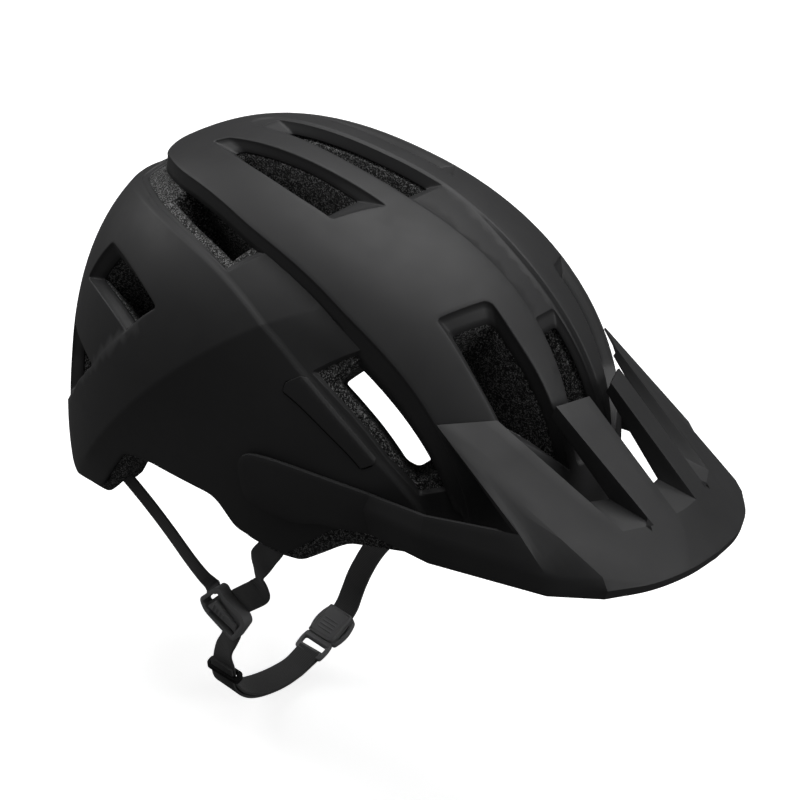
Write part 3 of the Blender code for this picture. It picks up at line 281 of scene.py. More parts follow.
def moved_out(loop, distance):
    """A closed outline moved outward by millimetres on the surface."""
    if abs(distance) < 1e-9:
        return loop.copy()
    scale = mm_per_degree(loop)
    before, after = np.roll(loop, 1, axis=0), np.roll(loop, -1, axis=0)
    area = 0.5 * np.sum(loop[:, 0] * after[:, 1] - after[:, 0] * loop[:, 1])
    turn = 1.0 if area > 0 else -1.0
    normals = []
    for edge in ((loop - before) * scale, (after - loop) * scale):
        size = np.maximum(np.linalg.norm(edge, axis=1), 1e-9)[:, None]
        normals.append(np.stack([edge[:, 1], -edge[:, 0]], axis=1) / size * turn)
    total = normals[0] + normals[1]
    size = np.maximum(np.linalg.norm(total, axis=1), 1e-6)[:, None]
    mitre = np.clip(2 / size, 1, 1.6)
    return loop + total / size * mitre * distance / scale


def in_loop(points, loop):
    x, y = points[:, 0], points[:, 1]
    held = np.zeros(len(points), bool)
    for (x0, y0), (x1, y1) in zip(loop, np.roll(loop, -1, axis=0)):
        crosses = (y0 > y) != (y1 > y)
        if y1 != y0:
            held ^= crosses & (x < (x1 - x0) * (y - y0) / (y1 - y0) + x0)
    return held


def distance_to(points, line):
    """Shortest distance from points to a line of segments, in three dimensions."""
    best = np.full(len(points), 1e9)
    for a, b in zip(line[:-1], line[1:]):
        edge = b - a
        share = np.clip((points - a) @ edge / max(edge @ edge, 1e-9), 0, 1)
        best = np.minimum(best, np.linalg.norm(points - a - share[:, None] * edge, axis=1))
    return best


def ring_of(half, move=0.0, count=8):
    """A ridge or an edge all the way round, from the front right over the rear to the front left.

    A positive move in millimetres carries it outward, away from the crown."""
    line = []
    for sweep, splay in smooth_line(half, count):
        share = min(max((sweep - 112) / 14, 0), 1)
        line.append((sweep + share * move * DEGREES_PER_MM,
                     max(splay + (1 - 0.6 * share) * move * DEGREES_PER_MM, 0)))
    line[-1] = (line[-1][0], 0.0)
    return np.array([(a, -b) for a, b in line] + [(a, b) for a, b in reversed(line[:-1])])


def rim_ring(line, is_inside, turns):
    """Where a lower edge drawn from the side meets a body or a hollow, at turns round the head."""
    drawn = np.arange(-170, 190, 0.5)
    height = np.interp(drawn, [p[0] for p in line], [p[1] for p in line])
    kernel = np.exp(-0.5 * (np.arange(-10, 11) / 3.6) ** 2)
    height = np.convolve(np.pad(height, 10, mode="edge"), kernel / kernel.sum(), mode="valid")
    base = line[-1][1] - SHELL_RIM[-1][1]

    def place(reach):
        x, y = reach * np.sin(turns), FORM_Y - reach * np.cos(turns)
        z = np.interp(y, drawn, height)
        arch = NAPE_ARCH + base + NAPE_BULGE * np.sqrt(np.maximum(1 - (x / NAPE_HALF) ** 2, 0))
        z = np.where((y > 60) & (np.abs(x) < NAPE_HALF), np.maximum(z, arch), z)
        return np.stack([x, y, z], axis=1)

    return place(last_inside(is_inside, place, np.full(len(turns), 20.0)))


# ---------------------------------------------------------------- meshes
def clear_selection():
    if bpy.context.object and bpy.context.object.mode != "OBJECT":
        bpy.ops.object.mode_set(mode="OBJECT")
    bpy.ops.object.select_all(action="DESELECT")


def take(made):
    clear_selection()
    made.select_set(True)
    bpy.context.view_layer.objects.active = made
    return made


def new_object(name, points, faces, closed=True):
    """One object from points in millimetres, welded and turned outward."""
    mesh = bpy.data.meshes.new(name)
    mesh.from_pydata(world(points).tolist(), [], [list(map(int, f)) for f in faces])
    bm = bmesh.new()
    bm.from_mesh(mesh)
    bmesh.ops.remove_doubles(bm, verts=bm.verts, dist=4e-6)
    bmesh.ops.dissolve_degenerate(bm, edges=bm.edges, dist=1e-6)
    loose = [v for v in bm.verts if not v.link_faces]
    bmesh.ops.delete(bm, geom=loose, context="VERTS")
    bmesh.ops.recalc_face_normals(bm, faces=bm.faces)
    middle = Vector(world([HUB])[0])
    if closed:
        inward = bm.calc_volume(signed=True) < 0
    else:
        inward = sum((f.calc_center_median() - middle).dot(f.normal) * f.calc_area() for f in bm.faces) < 0
    if inward:
        bmesh.ops.reverse_faces(bm, faces=bm.faces)
    bm.to_mesh(mesh)
    bm.free()
    made = bpy.data.objects.new(name, mesh)
    bpy.context.scene.collection.objects.link(made)
    mesh.shade_smooth()
    return made


def apply_step(made, kind, **settings):
    """Adds a modifier, sets it and applies it."""
    take(made)
    step = made.modifiers.new(kind.lower(), kind)
    for key, value in settings.items():
        setattr(step, key, value)
    bpy.ops.object.modifier_apply(modifier=step.name)
    return made


def wall(made, thickness):
    return apply_step(made, "SOLIDIFY", thickness=thickness * MM, offset=-1.0)


def patch(stacks, boundary, base, place, lines=(), spacing=1.7):
    """A meshed region of the hub's view. Each stack is a pile of matching rings (angles, extra depth) or
    ready points, the first of which bounds the region; boundary is the index of the outermost stack."""
    flats = [flat_map(stack[0][0]) for stack in stacks]

    def wanted(flat):
        held = in_loop(flat, flats[boundary])
        for k, other in enumerate(flats):
            if k != boundary:
                held &= ~in_loop(flat, other)
        return held

    coords, edges = [], []
    for flat in flats:
        start = len(coords)
        coords += [tuple(p) for p in flat]
        edges += [(start + i, start + (i + 1) % len(flat)) for i in range(len(flat))]
    for line in lines:
        flat = flat_map(line)
        held, last = wanted(flat), None
        for p, ok in zip(flat, held):
            if ok:
                coords.append(tuple(p))
                if last is not None:
                    edges.append((last, len(coords) - 1))
            last = len(coords) - 1 if ok else None
    tree = kdtree.KDTree(len(coords))
    for i, p in enumerate(coords):
        tree.insert((*p, 0), i)
    tree.balance()
    low, high = flats[boundary].min(axis=0), flats[boundary].max(axis=0)
    grid = []
    for row, v in enumerate(np.arange(low[1], high[1], spacing * 0.866)):
        for u in np.arange(low[0] + (row % 2) * spacing / 2, high[0], spacing):
            if tree.find((u, v, 0))[2] > spacing * 0.5:
                grid.append((u, v))
    grid = np.array(grid)
    coords += [tuple(p) for p in grid[wanted(grid)]]
    found = geometry.delaunay_2d_cdt([Vector(p) for p in coords], edges, [], 0, 1e-7, False)
    flat = np.array([tuple(v) for v in found[0]])
    faces = np.array([f for f in found[2] if len(f) == 3])
    faces = faces[wanted(flat[faces].mean(axis=1))].tolist()
    angles, extras, ready = [angles_from_flat(flat)], [np.zeros(len(flat))], {}
    count = len(flat)
    for stack in stacks:
        size, first = len(stack[0][0]), count
        for ring, extra in stack:
            if ring.shape[1] == 3:
                ready[count] = ring
                ring = np.zeros((size, 2))
                extra = 0.0
            angles.append(ring)
            extras.append(np.zeros(size) + extra)
            count += size
        for k in range(len(stack) - 1):
            a, b = first + k * size, first + (k + 1) * size
            faces += [(a + i, a + (i + 1) % size, b + (i + 1) % size, b + i) for i in range(size)]
    angles, extras = np.concatenate(angles), np.concatenate(extras)
    points = place(angles, base(angles) + extras)
    for first, ring in ready.items():
        points[first:first + len(ring)] = ring
    return points, faces


def lip_rings(loop, side, radius, reach):
    """Rings that round a surface over at an edge: side 1 outside an opening, -1 inside a border."""
    rings = [(moved_out(loop, side * (radius + reach)), 0.0)]
    for turn in (0, 28, 52, 74, 90):
        across, down = 1 - math.sin(math.radians(turn)), 1 - math.cos(math.radians(turn))
        rings.append((moved_out(loop, side * radius * across), radius * down))
    return rings


def evened(line, step, closed=False):
    """The line again with its points a step apart, in millimetres on the surface."""
    line = np.asarray(line, float)
    if closed:
        line = np.concatenate([line, line[:1]])
    scale = mm_per_degree((line[1:] + line[:-1]) / 2)
    lengths = np.concatenate([[0], np.cumsum(np.linalg.norm(np.diff(line, axis=0) * scale, axis=1))])
    marks = np.linspace(0, lengths[-1], max(int(lengths[-1] / step), 8) + 1)
    out = np.stack([np.interp(marks, lengths, line[:, k]) for k in (0, 1)], axis=1)
    return out[:-1] if closed else out


# ---------------------------------------------------------------- vents of the shells and the foam
# each vent on the left: outer corners, corners of its hole (sweep, splay, radius), depth of the flange
TOP_VENT = (((112, 8.7), (110, 7.4), (95, 7.6, 20), (81, 8.4, 1.2), (85, 15.5), (94, 14.6, 20), (104, 12.3, 20)),
            ((108.4, 9.3), (107.6, 8.2), (95, 8.2, 20), (85.4, 9.2), (87, 14.7), (94.4, 14.0, 20),
             (103, 11.8, 20)),
            5.5)
FRONT_VENT = (((62, 16.9), (60, 9.1), (59, 8.5, 1), (53, 8.6, 9), (47, 8, 9), (41, 7.6, 9), (31, 6.4),
               (42, 16.8, 3), (52, 17.4, 20)),
              ((58.8, 16.2), (57.2, 9.9), (56, 9.3, 1), (51.5, 9.2, 9), (46, 8.6, 9), (41, 8.2, 9), (32.4, 7.3),
               (42.4, 16.0, 3), (51, 16.7, 20)),
              6.0)
CROWN_HOLE = (whole(((108.6, 2.0), (96, 3.2, 20), (86, 3.8, 20), (79.6, 3.9))),
              whole(((106.2, 1.7), (96, 2.9, 20), (86, 3.5, 20), (81.6, 3.5))), 5.2)
BROW_HOLE = (whole(((54.2, 2.5), (45, 3.4, 20), (34, 4.5))), whole(((51.6, 2.2), (44, 3.1, 20), (35.2, 4.1))), 3.4)
GROOVE = ((111.5, 1.0), (110, 2.4), (98, 3.6, 20), (88, 4.2, 20), (80, 4.4, 20), (72, 3.7, 20), (62, 3.1, 20),
          (54, 3.2, 20), (45, 3.9, 20), (33, 5.0), (31, 4.4))
GROOVE_PROFILE = ((-0.7, 0), (-0.2, 0.12), (0.2, 0.5), (0.9, 1.9), (1.3, 2.45), (1.8, 2.6))
REAR_CHANNEL = (((96.6, 28.9), (91.8, 23.6), (100, 19.4, 20), (108, 16, 20), (115, 11.6, 9), (120, 5.4, 4),
                 (125.5, 5.4, 4), (126.6, 11.0, 6), (123, 14.6, 9), (116.5, 20.4, 20), (108, 24.9, 20)),
                ((97.6, 28.5), (93.2, 23.6), (100.4, 20.0, 20), (108.4, 16.6, 20), (115.2, 12.4, 9),
                 (120.4, 6.4, 4), (124.9, 6.4, 4), (125.8, 10.8, 6), (122.6, 14.1, 9), (116.2, 19.8, 20),
                 (107.9, 24.4, 20)),
                1.6)
REAR_CHANNEL_FOAM = ((97.6, 27.4), (94.6, 22.6), (101, 20.0, 20), (108, 17.4, 20), (112.6, 15.4), (114.4, 19.6),
                     (107.6, 23.6, 20))
SIDE_VENT = (((72, 35.9, 1.2), (66.4, 26.9), (50, 26.3, 20), (36, 26.3), (37.4, 33.6, 1.2), (47, 35.9, 20),
              (57, 36.3, 20), (65, 36.4, 20)),
             ((71, 35.4, 1.2), (65.9, 27.1), (50, 26.5, 20), (36.9, 26.6), (38.2, 33.2, 1.2), (47.2, 35.5, 20),
              (57, 35.9, 20), (64.8, 36.0, 20)),
             2.6)
SIDE_VENT_FOAM = ((67.2, 34.7, 2), (64.8, 26.2), (50, 25, 20), (39.8, 25), (39.6, 33.0, 1.5), (43.4, 34.4, 20),
                  (52, 35.0, 20), (61, 35.1, 20))
SIDE_VENT_ROOM = ((68.3, 28.5, 2), (66.2, 21.8), (56, 21.2, 20), (43.4, 21.2), (43, 25.4, 2.5), (45.6, 27.2, 3),
                  (52, 27.8, 20), (61, 28.4, 20))
REAR_VENT_A = (((127, 23.3), (137, 24.1), (123.2, 37.4), (112, 35.3, 2.4)),
               ((127.4, 24.7), (134.4, 25.3), (122.6, 36.2), (114.2, 34.6, 2.4)), 6.0)
REAR_VENT_B = (((150, 21.5), (142, 37), (158, 33), (164, 27), (158, 23)),
               ((150.8, 23.6), (144.4, 35.6), (157.4, 31.6), (161.6, 27), (157, 24.6)), 6.0)
TAIL_VENT = (whole(((140, 9.5), (152, 6.5))), whole(((141.6, 8.4), (150.6, 5.7))), 5.0)
NAPE_VENT = (((154, 16.5), (151, 10), (163, 8), (167, 14)),
             ((155, 15.6), (152.6, 10.8), (162.6, 9.2), (165.6, 13.8)), 5.0)
INSERT = ((75.5, 39.5, 0.8), (73.4, 37.4, 0.5), (70.8, 36.4, 0.8), (64, 36.9, 20), (56.8, 37.0, 20),
          (49.8, 36.7, 0.8), (48.6, 38.0, 0.5), (49.3, 40.3, 0.8), (61.5, 41.4, 20), (75.2, 41, 0.8))
INSERT_SEAT = ((75.5, 39.5, 0.8), (73.6, 38.1, 0.5), (71, 37.5, 0.8), (64, 37.9, 20), (56.8, 38.1, 20),
               (50, 37.7, 0.8), (48.6, 38.5, 0.5), (49.3, 40.3, 0.8), (61.5, 41.4, 20), (75.2, 41, 0.8))
INSERT_PROUD = 0.6
INSERT_FACET = ((-0.4, 0), (0.0, 0.1), (4.4, 3.6))

RIDGE_RING, SIDE_RING = ring_of(RIDGE), ring_of(SIDE_EDGE)
RIDGE_LINE = on_skin(RIDGE_RING)
SIDE_LINE = on_skin(SIDE_RING)
CHAMFER = ((-0.4, 0), (0.2, 0.1), (2.8, 1.35), (3.3, 1.45))
WALL_FOOT = 6.5
SHELL_WALL, INSERT_WALL, INSERT_SPACING = 1.3, 1.0, 0.8
BROW_SWEEP, BORDER_STEP = 20.3, 2.2
BAND = ((110, 34.6), (112, 35.6), (118, 37), (126, 37.9), (134, 38), (142, 37.6), (150, 35.4), (158, 32.6),
        (166, 27), (171, 18), (173, 0))
BAND_STEP, BAND_RUN = 1.3, 1.1


def closed(loop):
    return np.concatenate([loop, loop[:1]])


def both_sides(vent):
    outer, inner, depth = vent
    return [(outer, inner, depth), (mirrored(outer), mirrored(inner), depth)]


def in_ridge(angles):
    return in_loop(flat_map(angles), flat_map(RIDGE_RING))


def past_side_edge(angles):
    """How far a place lies from the side's upper edge toward the crown; negative below that edge."""
    held = in_loop(flat_map(angles), flat_map(SIDE_RING))
    return distance_to(on_skin(angles), SIDE_LINE) * np.where(held, 1, -1)


def channel_floor(angles):
    """Depth of the channel between the cap's ridge and the side's bevelled upper edge."""
    to_side = past_side_edge(angles)
    to_ridge = np.where(in_ridge(angles), 0, distance_to(on_skin(angles), RIDGE_LINE))
    run = np.maximum(to_side - CHAMFER[-1][0], 0)
    share = run / np.maximum(run + np.maximum(to_ridge - WALL_FOOT, 0), 1e-6)
    return profile(to_side, CHAMFER) + (CHANNEL_DEPTH - CHANNEL_LIP) * share


def band_ring():
    line = smooth_line(BAND, 6)
    return np.concatenate([line * [1, -1], line[::-1][1:]])


BAND_RING = band_ring()
BAND_LINE = on_skin(BAND_RING)


def rear_step(angles):
    """The rear above the lower band is let in by a small step."""
    held = in_loop(flat_map(angles), flat_map(BAND_RING)) & (angles[:, 0] > 100)
    away = distance_to(on_skin(angles), BAND_LINE)
    fade = ease((angles[:, 0] - 114) / 12)
    return np.where(held, BAND_STEP * ease(away / BAND_RUN) * fade, 0)


def body_depth(angles):
    return channel_floor(angles) + rear_step(angles)


def groove_loop():
    return rounded(whole(GROOVE))[0]


def groove_depth(angles):
    loop = groove_loop()
    held = in_loop(angles, loop)
    away = distance_to(on_skin(angles), on_skin(closed(loop))) * np.where(held, 1, -1)
    fade = 1 - 0.65 * ease((angles[:, 0] - 64) / 12)
    return profile(away, GROOVE_PROFILE) * fade


def crease_line(sweeps):
    """The side's body crease, as places where its height meets the form."""
    low, high = np.full(len(sweeps), 12.0), np.full(len(sweeps), 76.0)
    for _ in range(24):
        mid = (low + high) / 2
        d = rays(sweeps, mid)
        p = HUB + reach_along(d, in_form)[:, None] * d
        above = p[:, 2] > crease_height(p[:, 1])
        low, high = np.where(above, mid, low), np.where(above, high, mid)
    return np.stack([sweeps, low], axis=1)


def matched(outer, inner):
    """Two rounded outlines whose points pair up."""
    loop, taken = rounded(outer)
    return loop, rounded(inner, taken)[0]


def vent_rings(vent, radius=0.8, reach=1.5):
    """A rounded lip, a wall that leans in to the hole and its edge."""
    outer, inner, depth = vent
    loop, hole = matched(outer, inner)
    rings = lip_rings(loop, 1, radius, reach)
    rings += [(loop + (hole - loop) * share, radius + (depth - radius) * share) for share in (0.3, 0.65, 1.0)]
    return rings + [(hole, depth + 0.7)]


def shaft(edge, depth, ending, shares):
    """Rings from a hole's edge in the foam down to its end in the head space, and the flare round that end."""
    top, foot, flare = on_skin(edge, depth), cavity(ending), moved_out(ending, 1.2)
    return [(top + (foot - top) * share, 0.0) for share in shares] + [(cavity(flare), 0.0)], flare


def foam_rings(outer, inner, depth):
    """The foam's pocket round a flange, a rounded ledge under it and the wall down to the head space."""
    depth -= FOAM_DEPTH
    loop, hole = matched(outer, inner)
    edge = moved_out(hole, -0.5)
    rings = [(moved_out(loop, 3.0), 0.0), (moved_out(loop, 2.0), 0.25), (moved_out(hole, 1.9), depth + 0.6),
             (moved_out(hole, 0.8), depth + 0.9), (hole, depth + 1.2), (edge, depth + 2.0)]
    lower, flare = shaft(edge, foam_floor(edge) + depth + 2.0, edge, (0.3, 0.6, 0.9))
    return rings + lower, flare


def tunnel_rings(corners, room, depth):
    """A hole through the foam whose inner end has an outline of its own."""
    hole, ending = matched(corners, room)
    edge = moved_out(hole, -0.8)
    rings = [(moved_out(hole, 1.6), depth), (moved_out(hole, 0.6), depth), (moved_out(hole, 0.1), depth + 0.4),
             (moved_out(hole, -0.5), depth + 1.4), (edge, depth + 3.0)]
    lower, flare = shaft(edge, foam_floor(edge) + depth + 3.0, ending, (0.3, 0.6, 0.92))
    return rings + lower, flare


# ---------------------------------------------------------------- materials
GRAIN_DEPTH, CLOUD_SPREAD = 0.012, 0.25


def set_inputs(node, **values):
    """Sets a node's inputs by name, or its own property where no input has that name."""
    for key, value in values.items():
        name = key.replace("_", " ")
        if name in node.inputs:
            node.inputs[name].default_value = value
        else:
            setattr(node, key, value)
    return node


def new_paint(name):
    """An empty material with its shader, and helpers that add and join nodes."""
    made = bpy.data.materials.new(name)
    made.use_nodes = True
    tree = made.node_tree

    def add(kind, **values):
        return set_inputs(tree.nodes.new("ShaderNode" + kind), **values)

    return made, tree.nodes["Principled BSDF"], add, tree.links.new


def mapped(add, join, kind, **values):
    """A texture laid on the piece's own coordinates."""
    node = add("Tex" + kind, **values)
    join(add("TexCoord").outputs["Object"], node.inputs["Vector"])
    return node


def maths(add, join, operation, *terms):
    """A calculation on terms that are plain numbers or the outputs of other nodes."""
    node = add("Math", operation=operation)
    for socket, term in zip(node.inputs, terms):
        if isinstance(term, float):
            socket.default_value = term
        else:
            join(term, socket)
    return node.outputs["Value"]


def ramp(add, join, source, stops):
    """A colour ramp of greys or colours at given places."""
    node = add("ValToRGB")
    while len(node.color_ramp.elements) < len(stops):
        node.color_ramp.elements.new(0.5)
    for element, (place, colour) in zip(node.color_ramp.elements, stops):
        element.position = place
        element.color = (*colour, 1.0) if hasattr(colour, "__len__") else (colour, colour, colour, 1.0)
    join(source, node.inputs["Fac"])
    return node.outputs["Color"]


def bump(add, join, shader, height, strength, distance):
    node = add("Bump", Strength=strength, Distance=distance)
    join(height, node.inputs["Height"])
    join(node.outputs["Normal"], shader.inputs["Normal"])


def plastic_paint(name, colour, roughness, grain=2600.0, gloss=0.5):
    """Moulded plastic: a fine spark-eroded grain, faint flow clouds in its colour and its gloss."""
    made, shader, add, join = new_paint(name)
    cloud = mapped(add, join, "Noise", Scale=18.0, Detail=3.0, Roughness=0.55)
    low, high = [[c * (1 + side * CLOUD_SPREAD * 0.5) for c in colour] for side in (-1, 1)]
    join(ramp(add, join, cloud.outputs["Fac"], ((0.3, low), (0.7, high))), shader.inputs["Base Color"])
    fine = mapped(add, join, "Noise", Scale=grain, Detail=2.0, Roughness=0.6)
    smear = mapped(add, join, "Noise", Scale=60.0, Detail=4.0, Roughness=0.6)
    dull = add("MapRange", From_Min=0.3, From_Max=0.7, To_Min=roughness - 0.04, To_Max=roughness + 0.05)
    join(smear.outputs["Fac"], dull.inputs["Value"])
    join(dull.outputs["Result"], shader.inputs["Roughness"])
    set_inputs(shader, Specular_IOR_Level=gloss)
    bump(add, join, shader, fine.outputs["Fac"], 0.5, GRAIN_DEPTH * MM)
    return made


def foam_paint(name, dark, light, bead):
    """Expanded foam: tiny pressed beads, most of them dark and some that catch the light."""
    made, shader, add, join = new_paint(name)
    beads = mapped(add, join, "Voronoi", Scale=1 / (bead * MM), Randomness=1.0)
    tone = add("SeparateColor")
    join(beads.outputs["Color"], tone.inputs["Color"])
    stops = ((0.0, dark), (0.5, [c * 3 for c in dark]), (0.78, [c * 0.4 for c in light]), (1.0, light))
    join(ramp(add, join, tone.outputs["Red"], stops), shader.inputs["Base Color"])
    set_inputs(shader, Roughness=0.6, Specular_IOR_Level=0.4)
    edge = mapped(add, join, "Voronoi", Scale=1 / (bead * MM), Randomness=1.0, feature="DISTANCE_TO_EDGE")
    height = ramp(add, join, edge.outputs["Distance"], ((0.0, 0.0), (0.2, 1.0)))
    bump(add, join, shader, height, 0.8, 0.16 * MM)
    return made


def webbing_paint(name, colour, rib):
    """Woven band: ribs across it, crossed by a twill, on the band's own map (metres across and along). Its colour
    carries painted shade and painted highlight of the weave: darker in the hollows between threads, lighter on the
    raised threads.
    """
    made, shader, add, join = new_paint(name)
    split = add("SeparateXYZ")
    join(add("UVMap", uv_map="band").outputs["UV"], split.inputs["Vector"])
    across, along = split.outputs["X"], split.outputs["Y"]

    def wave(source, pitch):
        return maths(add, join, "SINE", maths(add, join, "MULTIPLY", source, 2 * math.pi / (pitch * MM)))

    twill = wave(maths(add, join, "ADD", across, along), rib)
    counter = wave(maths(add, join, "SUBTRACT", across, along), rib)
    weave = maths(add, join, "ADD", maths(add, join, "MULTIPLY", twill, counter), wave(along, rib * 0.7))
    level = add("MapRange", From_Min=-2.0, From_Max=2.0)
    join(weave, level.inputs["Value"])
    # painted shade and painted highlight: the colour follows the weave's height, 0.6 of the webbing's colour in the
    # hollows and 1.5 on the crests
    low, high = [c * 0.6 for c in colour], [c * 1.5 for c in colour]
    join(ramp(add, join, level.outputs["Result"], ((0.2, low), (0.8, high))), shader.inputs["Base Color"])
    set_inputs(shader, Roughness=0.78, Sheen_Weight=0.15, Sheen_Roughness=0.5)
    bump(add, join, shader, level.outputs["Result"], 0.6, 0.12 * MM)
    return made


def fabric_paint(name, colour, pitch):
    """Brushed knit over a foam pad: small loops with a soft sheen. The loops' colour carries painted highlight on
    their raised middles and painted shade in the hollows between them, mixed with a random fuzz of tone.
    """
    made, shader, add, join = new_paint(name)
    loops = mapped(add, join, "Voronoi", Scale=1 / (pitch * MM), Randomness=0.35)
    fuzz = mapped(add, join, "Noise", Scale=900.0, Detail=3.0, Roughness=0.7)
    both = maths(add, join, "MULTIPLY_ADD", fuzz.outputs["Fac"], 0.5, loops.outputs["Distance"])
    low, high = [c * 0.55 for c in colour], [c * 1.5 for c in colour]
    # painted highlight and painted shade: light where the loops stand up and dark where they sink, as the bump below
    # has them; the fuzz part is random tone
    join(ramp(add, join, both, ((0.2, high), (0.9, low))), shader.inputs["Base Color"])
    set_inputs(shader, Roughness=0.9, Sheen_Weight=0.3)
    bump(add, join, shader, both, 0.5, -0.25 * MM)
    return made


def finish_piece(made, paint, body, slot, *nodes):
    """Gives a piece its finish and its body, and hides the frame nodes that it stands for. The slot is not used."""
    made.data.materials.clear()
    made.data.materials.append(paint_of(paint))
    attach(made, body)
    if nodes:
        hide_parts(*nodes)
    return made


def paint_of(name):
    found = bpy.data.materials.get(name)
    if not found:
        raise RuntimeError("the finishes are made first: " + name)
    return found


def fitting(made, body, node):
    """A piece in the fittings' dark grey plastic."""
    return finish_piece(made, "dark_grey_plastic", body, "dark_plastic", node)


# ---------------------------------------------------------------- shells and foam
def skirt_fall(border):
    """Which way and how far the cap's skirt falls: inward at the brow, straight down along the sides."""
    sweep = border[:, 0]
    inward = on_skin(border, 1.0) - on_skin(border)
    shallow = 0.9 + 3.8 * ease((sweep - 21.5) / 3)
    tall = 8.4 + 8.0 * ease((sweep - 33) / 6) * ease((73.5 - sweep) / 4)
    upright = ease((sweep - 24) / 9)
    return inward * (shallow * (1 - upright))[:, None] - (upright * tall)[:, None] * [0, 0, 1]


def build_cap(settings):
    """The raised centre cap: vents, a groove along the midline and a skirt under its ridge."""
    ridge = RIDGE_RING[RIDGE_RING[:, 0] > BROW_SWEEP]
    front = np.array([(BROW_SWEEP, s) for s in np.arange(23.5, -24, -1.0)])
    border = evened(np.concatenate([ridge, front]), BORDER_STEP, closed=True)
    top = settings.lip * 1000
    rings = lip_rings(border, -1, top, 1.6)
    rim, fall = on_skin(border, top), skirt_fall(border)
    rings += [(rim + fall * share, 0.0) for share in (0.08, 0.3, 0.65, 1.0)]
    stacks = [rings]
    for vent in both_sides(TOP_VENT) + both_sides(FRONT_VENT):
        stacks.append(vent_rings(vent, settings.lip * 1000))
    stacks += [vent_rings(vent, 0.4, 0.3) for vent in (CROWN_HOLE, BROW_HOLE)]
    groove = groove_loop()
    lines = [closed(moved_out(groove, d)) for d in (0.8, 0.2, -0.2, -0.9, -1.5)]
    points, faces = patch(stacks, 0, groove_depth, on_skin, lines, settings.spacing)
    cap = new_object("shell_cap", points, faces, closed=False)
    wall(cap, SHELL_WALL)
    return finish_piece(cap, "matte_black_cap", "helmet", "black_shell", "upper_shell")


def body_border():
    """The lower shell's outline: its rim from the brow round the back to the brow, then under the ridge."""
    turns = np.radians(np.arange(0, 360, 0.8))
    rim = angles_of(rim_ring(SHELL_RIM, in_form, turns))
    first = int(np.argmax(np.abs(rim[:, 1]) > 23.6))
    rim = rim[first:len(rim) - first]
    inner = ring_of(RIDGE, -3.4)
    inner = inner[inner[:, 0] > 21]
    if rim[0, 1] < 0:
        inner = inner[::-1]
    return evened(np.concatenate([rim, inner]), BORDER_STEP, closed=True)


def build_body(settings):
    """The lower shell: channel, side vents, rear vents, bevelled edges and a rounded rim."""
    border = body_border()
    stacks = [lip_rings(border, -1, settings.lip * 1000, 1.4)]
    stacks[0].append((moved_out(border, -0.1), settings.lip * 1000 + 0.8))
    for vent in both_sides(REAR_CHANNEL):
        stacks.append(vent_rings(vent, 0.4, 0.5))
    stacks += [vent_rings(vent, 0.4, 0.3) for vent in both_sides(SIDE_VENT)]
    for vent in both_sides(REAR_VENT_A) + both_sides(REAR_VENT_B) + both_sides(NAPE_VENT) + [TAIL_VENT]:
        stacks.append(vent_rings(vent, settings.lip * 1000 * 0.75, 0.9))
    for corners in (INSERT_SEAT, mirrored(INSERT_SEAT)):
        loop = moved_out(rounded(corners)[0], 0.4)
        rings = lip_rings(loop, 1, 0.25, 0.2)
        rings.append((loop, 1.6))
        stacks.append(rings)
    lines = []
    for distance in (0.9, 0.4, -0.2, -1.5, -2.8, -3.3, -4.3):
        lines.append(evened(ring_of(SIDE_EDGE, distance), 2.4))
    crease = crease_line(np.arange(76, 168, 1.2))
    for shift in (-0.5, 0, 0.5):
        lines += [crease + [0, shift], (crease + [0, shift]) * [1, -1]]
    lines += [evened(BAND_RING, 2.4), evened(moved_out(BAND_RING, -BAND_RUN), 2.4)]
    points, faces = patch(stacks, 0, body_depth, on_skin, lines, settings.spacing)
    body = new_object("shell_body", points, faces, closed=False)
    wall(body, SHELL_WALL)
    return finish_piece(body, "matte_black_shell", "helmet", "black_shell", "lower_shell")


def foam_floor(angles):
    """Depth of the foam's outer face: under the shells, and let in round the cap's skirt."""
    held = in_ridge(angles)
    p = on_skin(angles)
    to_ridge = distance_to(p, RIDGE_LINE)
    under_cap = FOAM_DEPTH + (CHANNEL_DEPTH + 0.4) * ease(1 - (to_ridge - 3.2) / 3.0) + groove_depth(angles)
    return np.where(held, under_cap, channel_floor(angles) + 2.0 + 0.5 * ease(1 - to_ridge / 2)) + rear_step(angles)


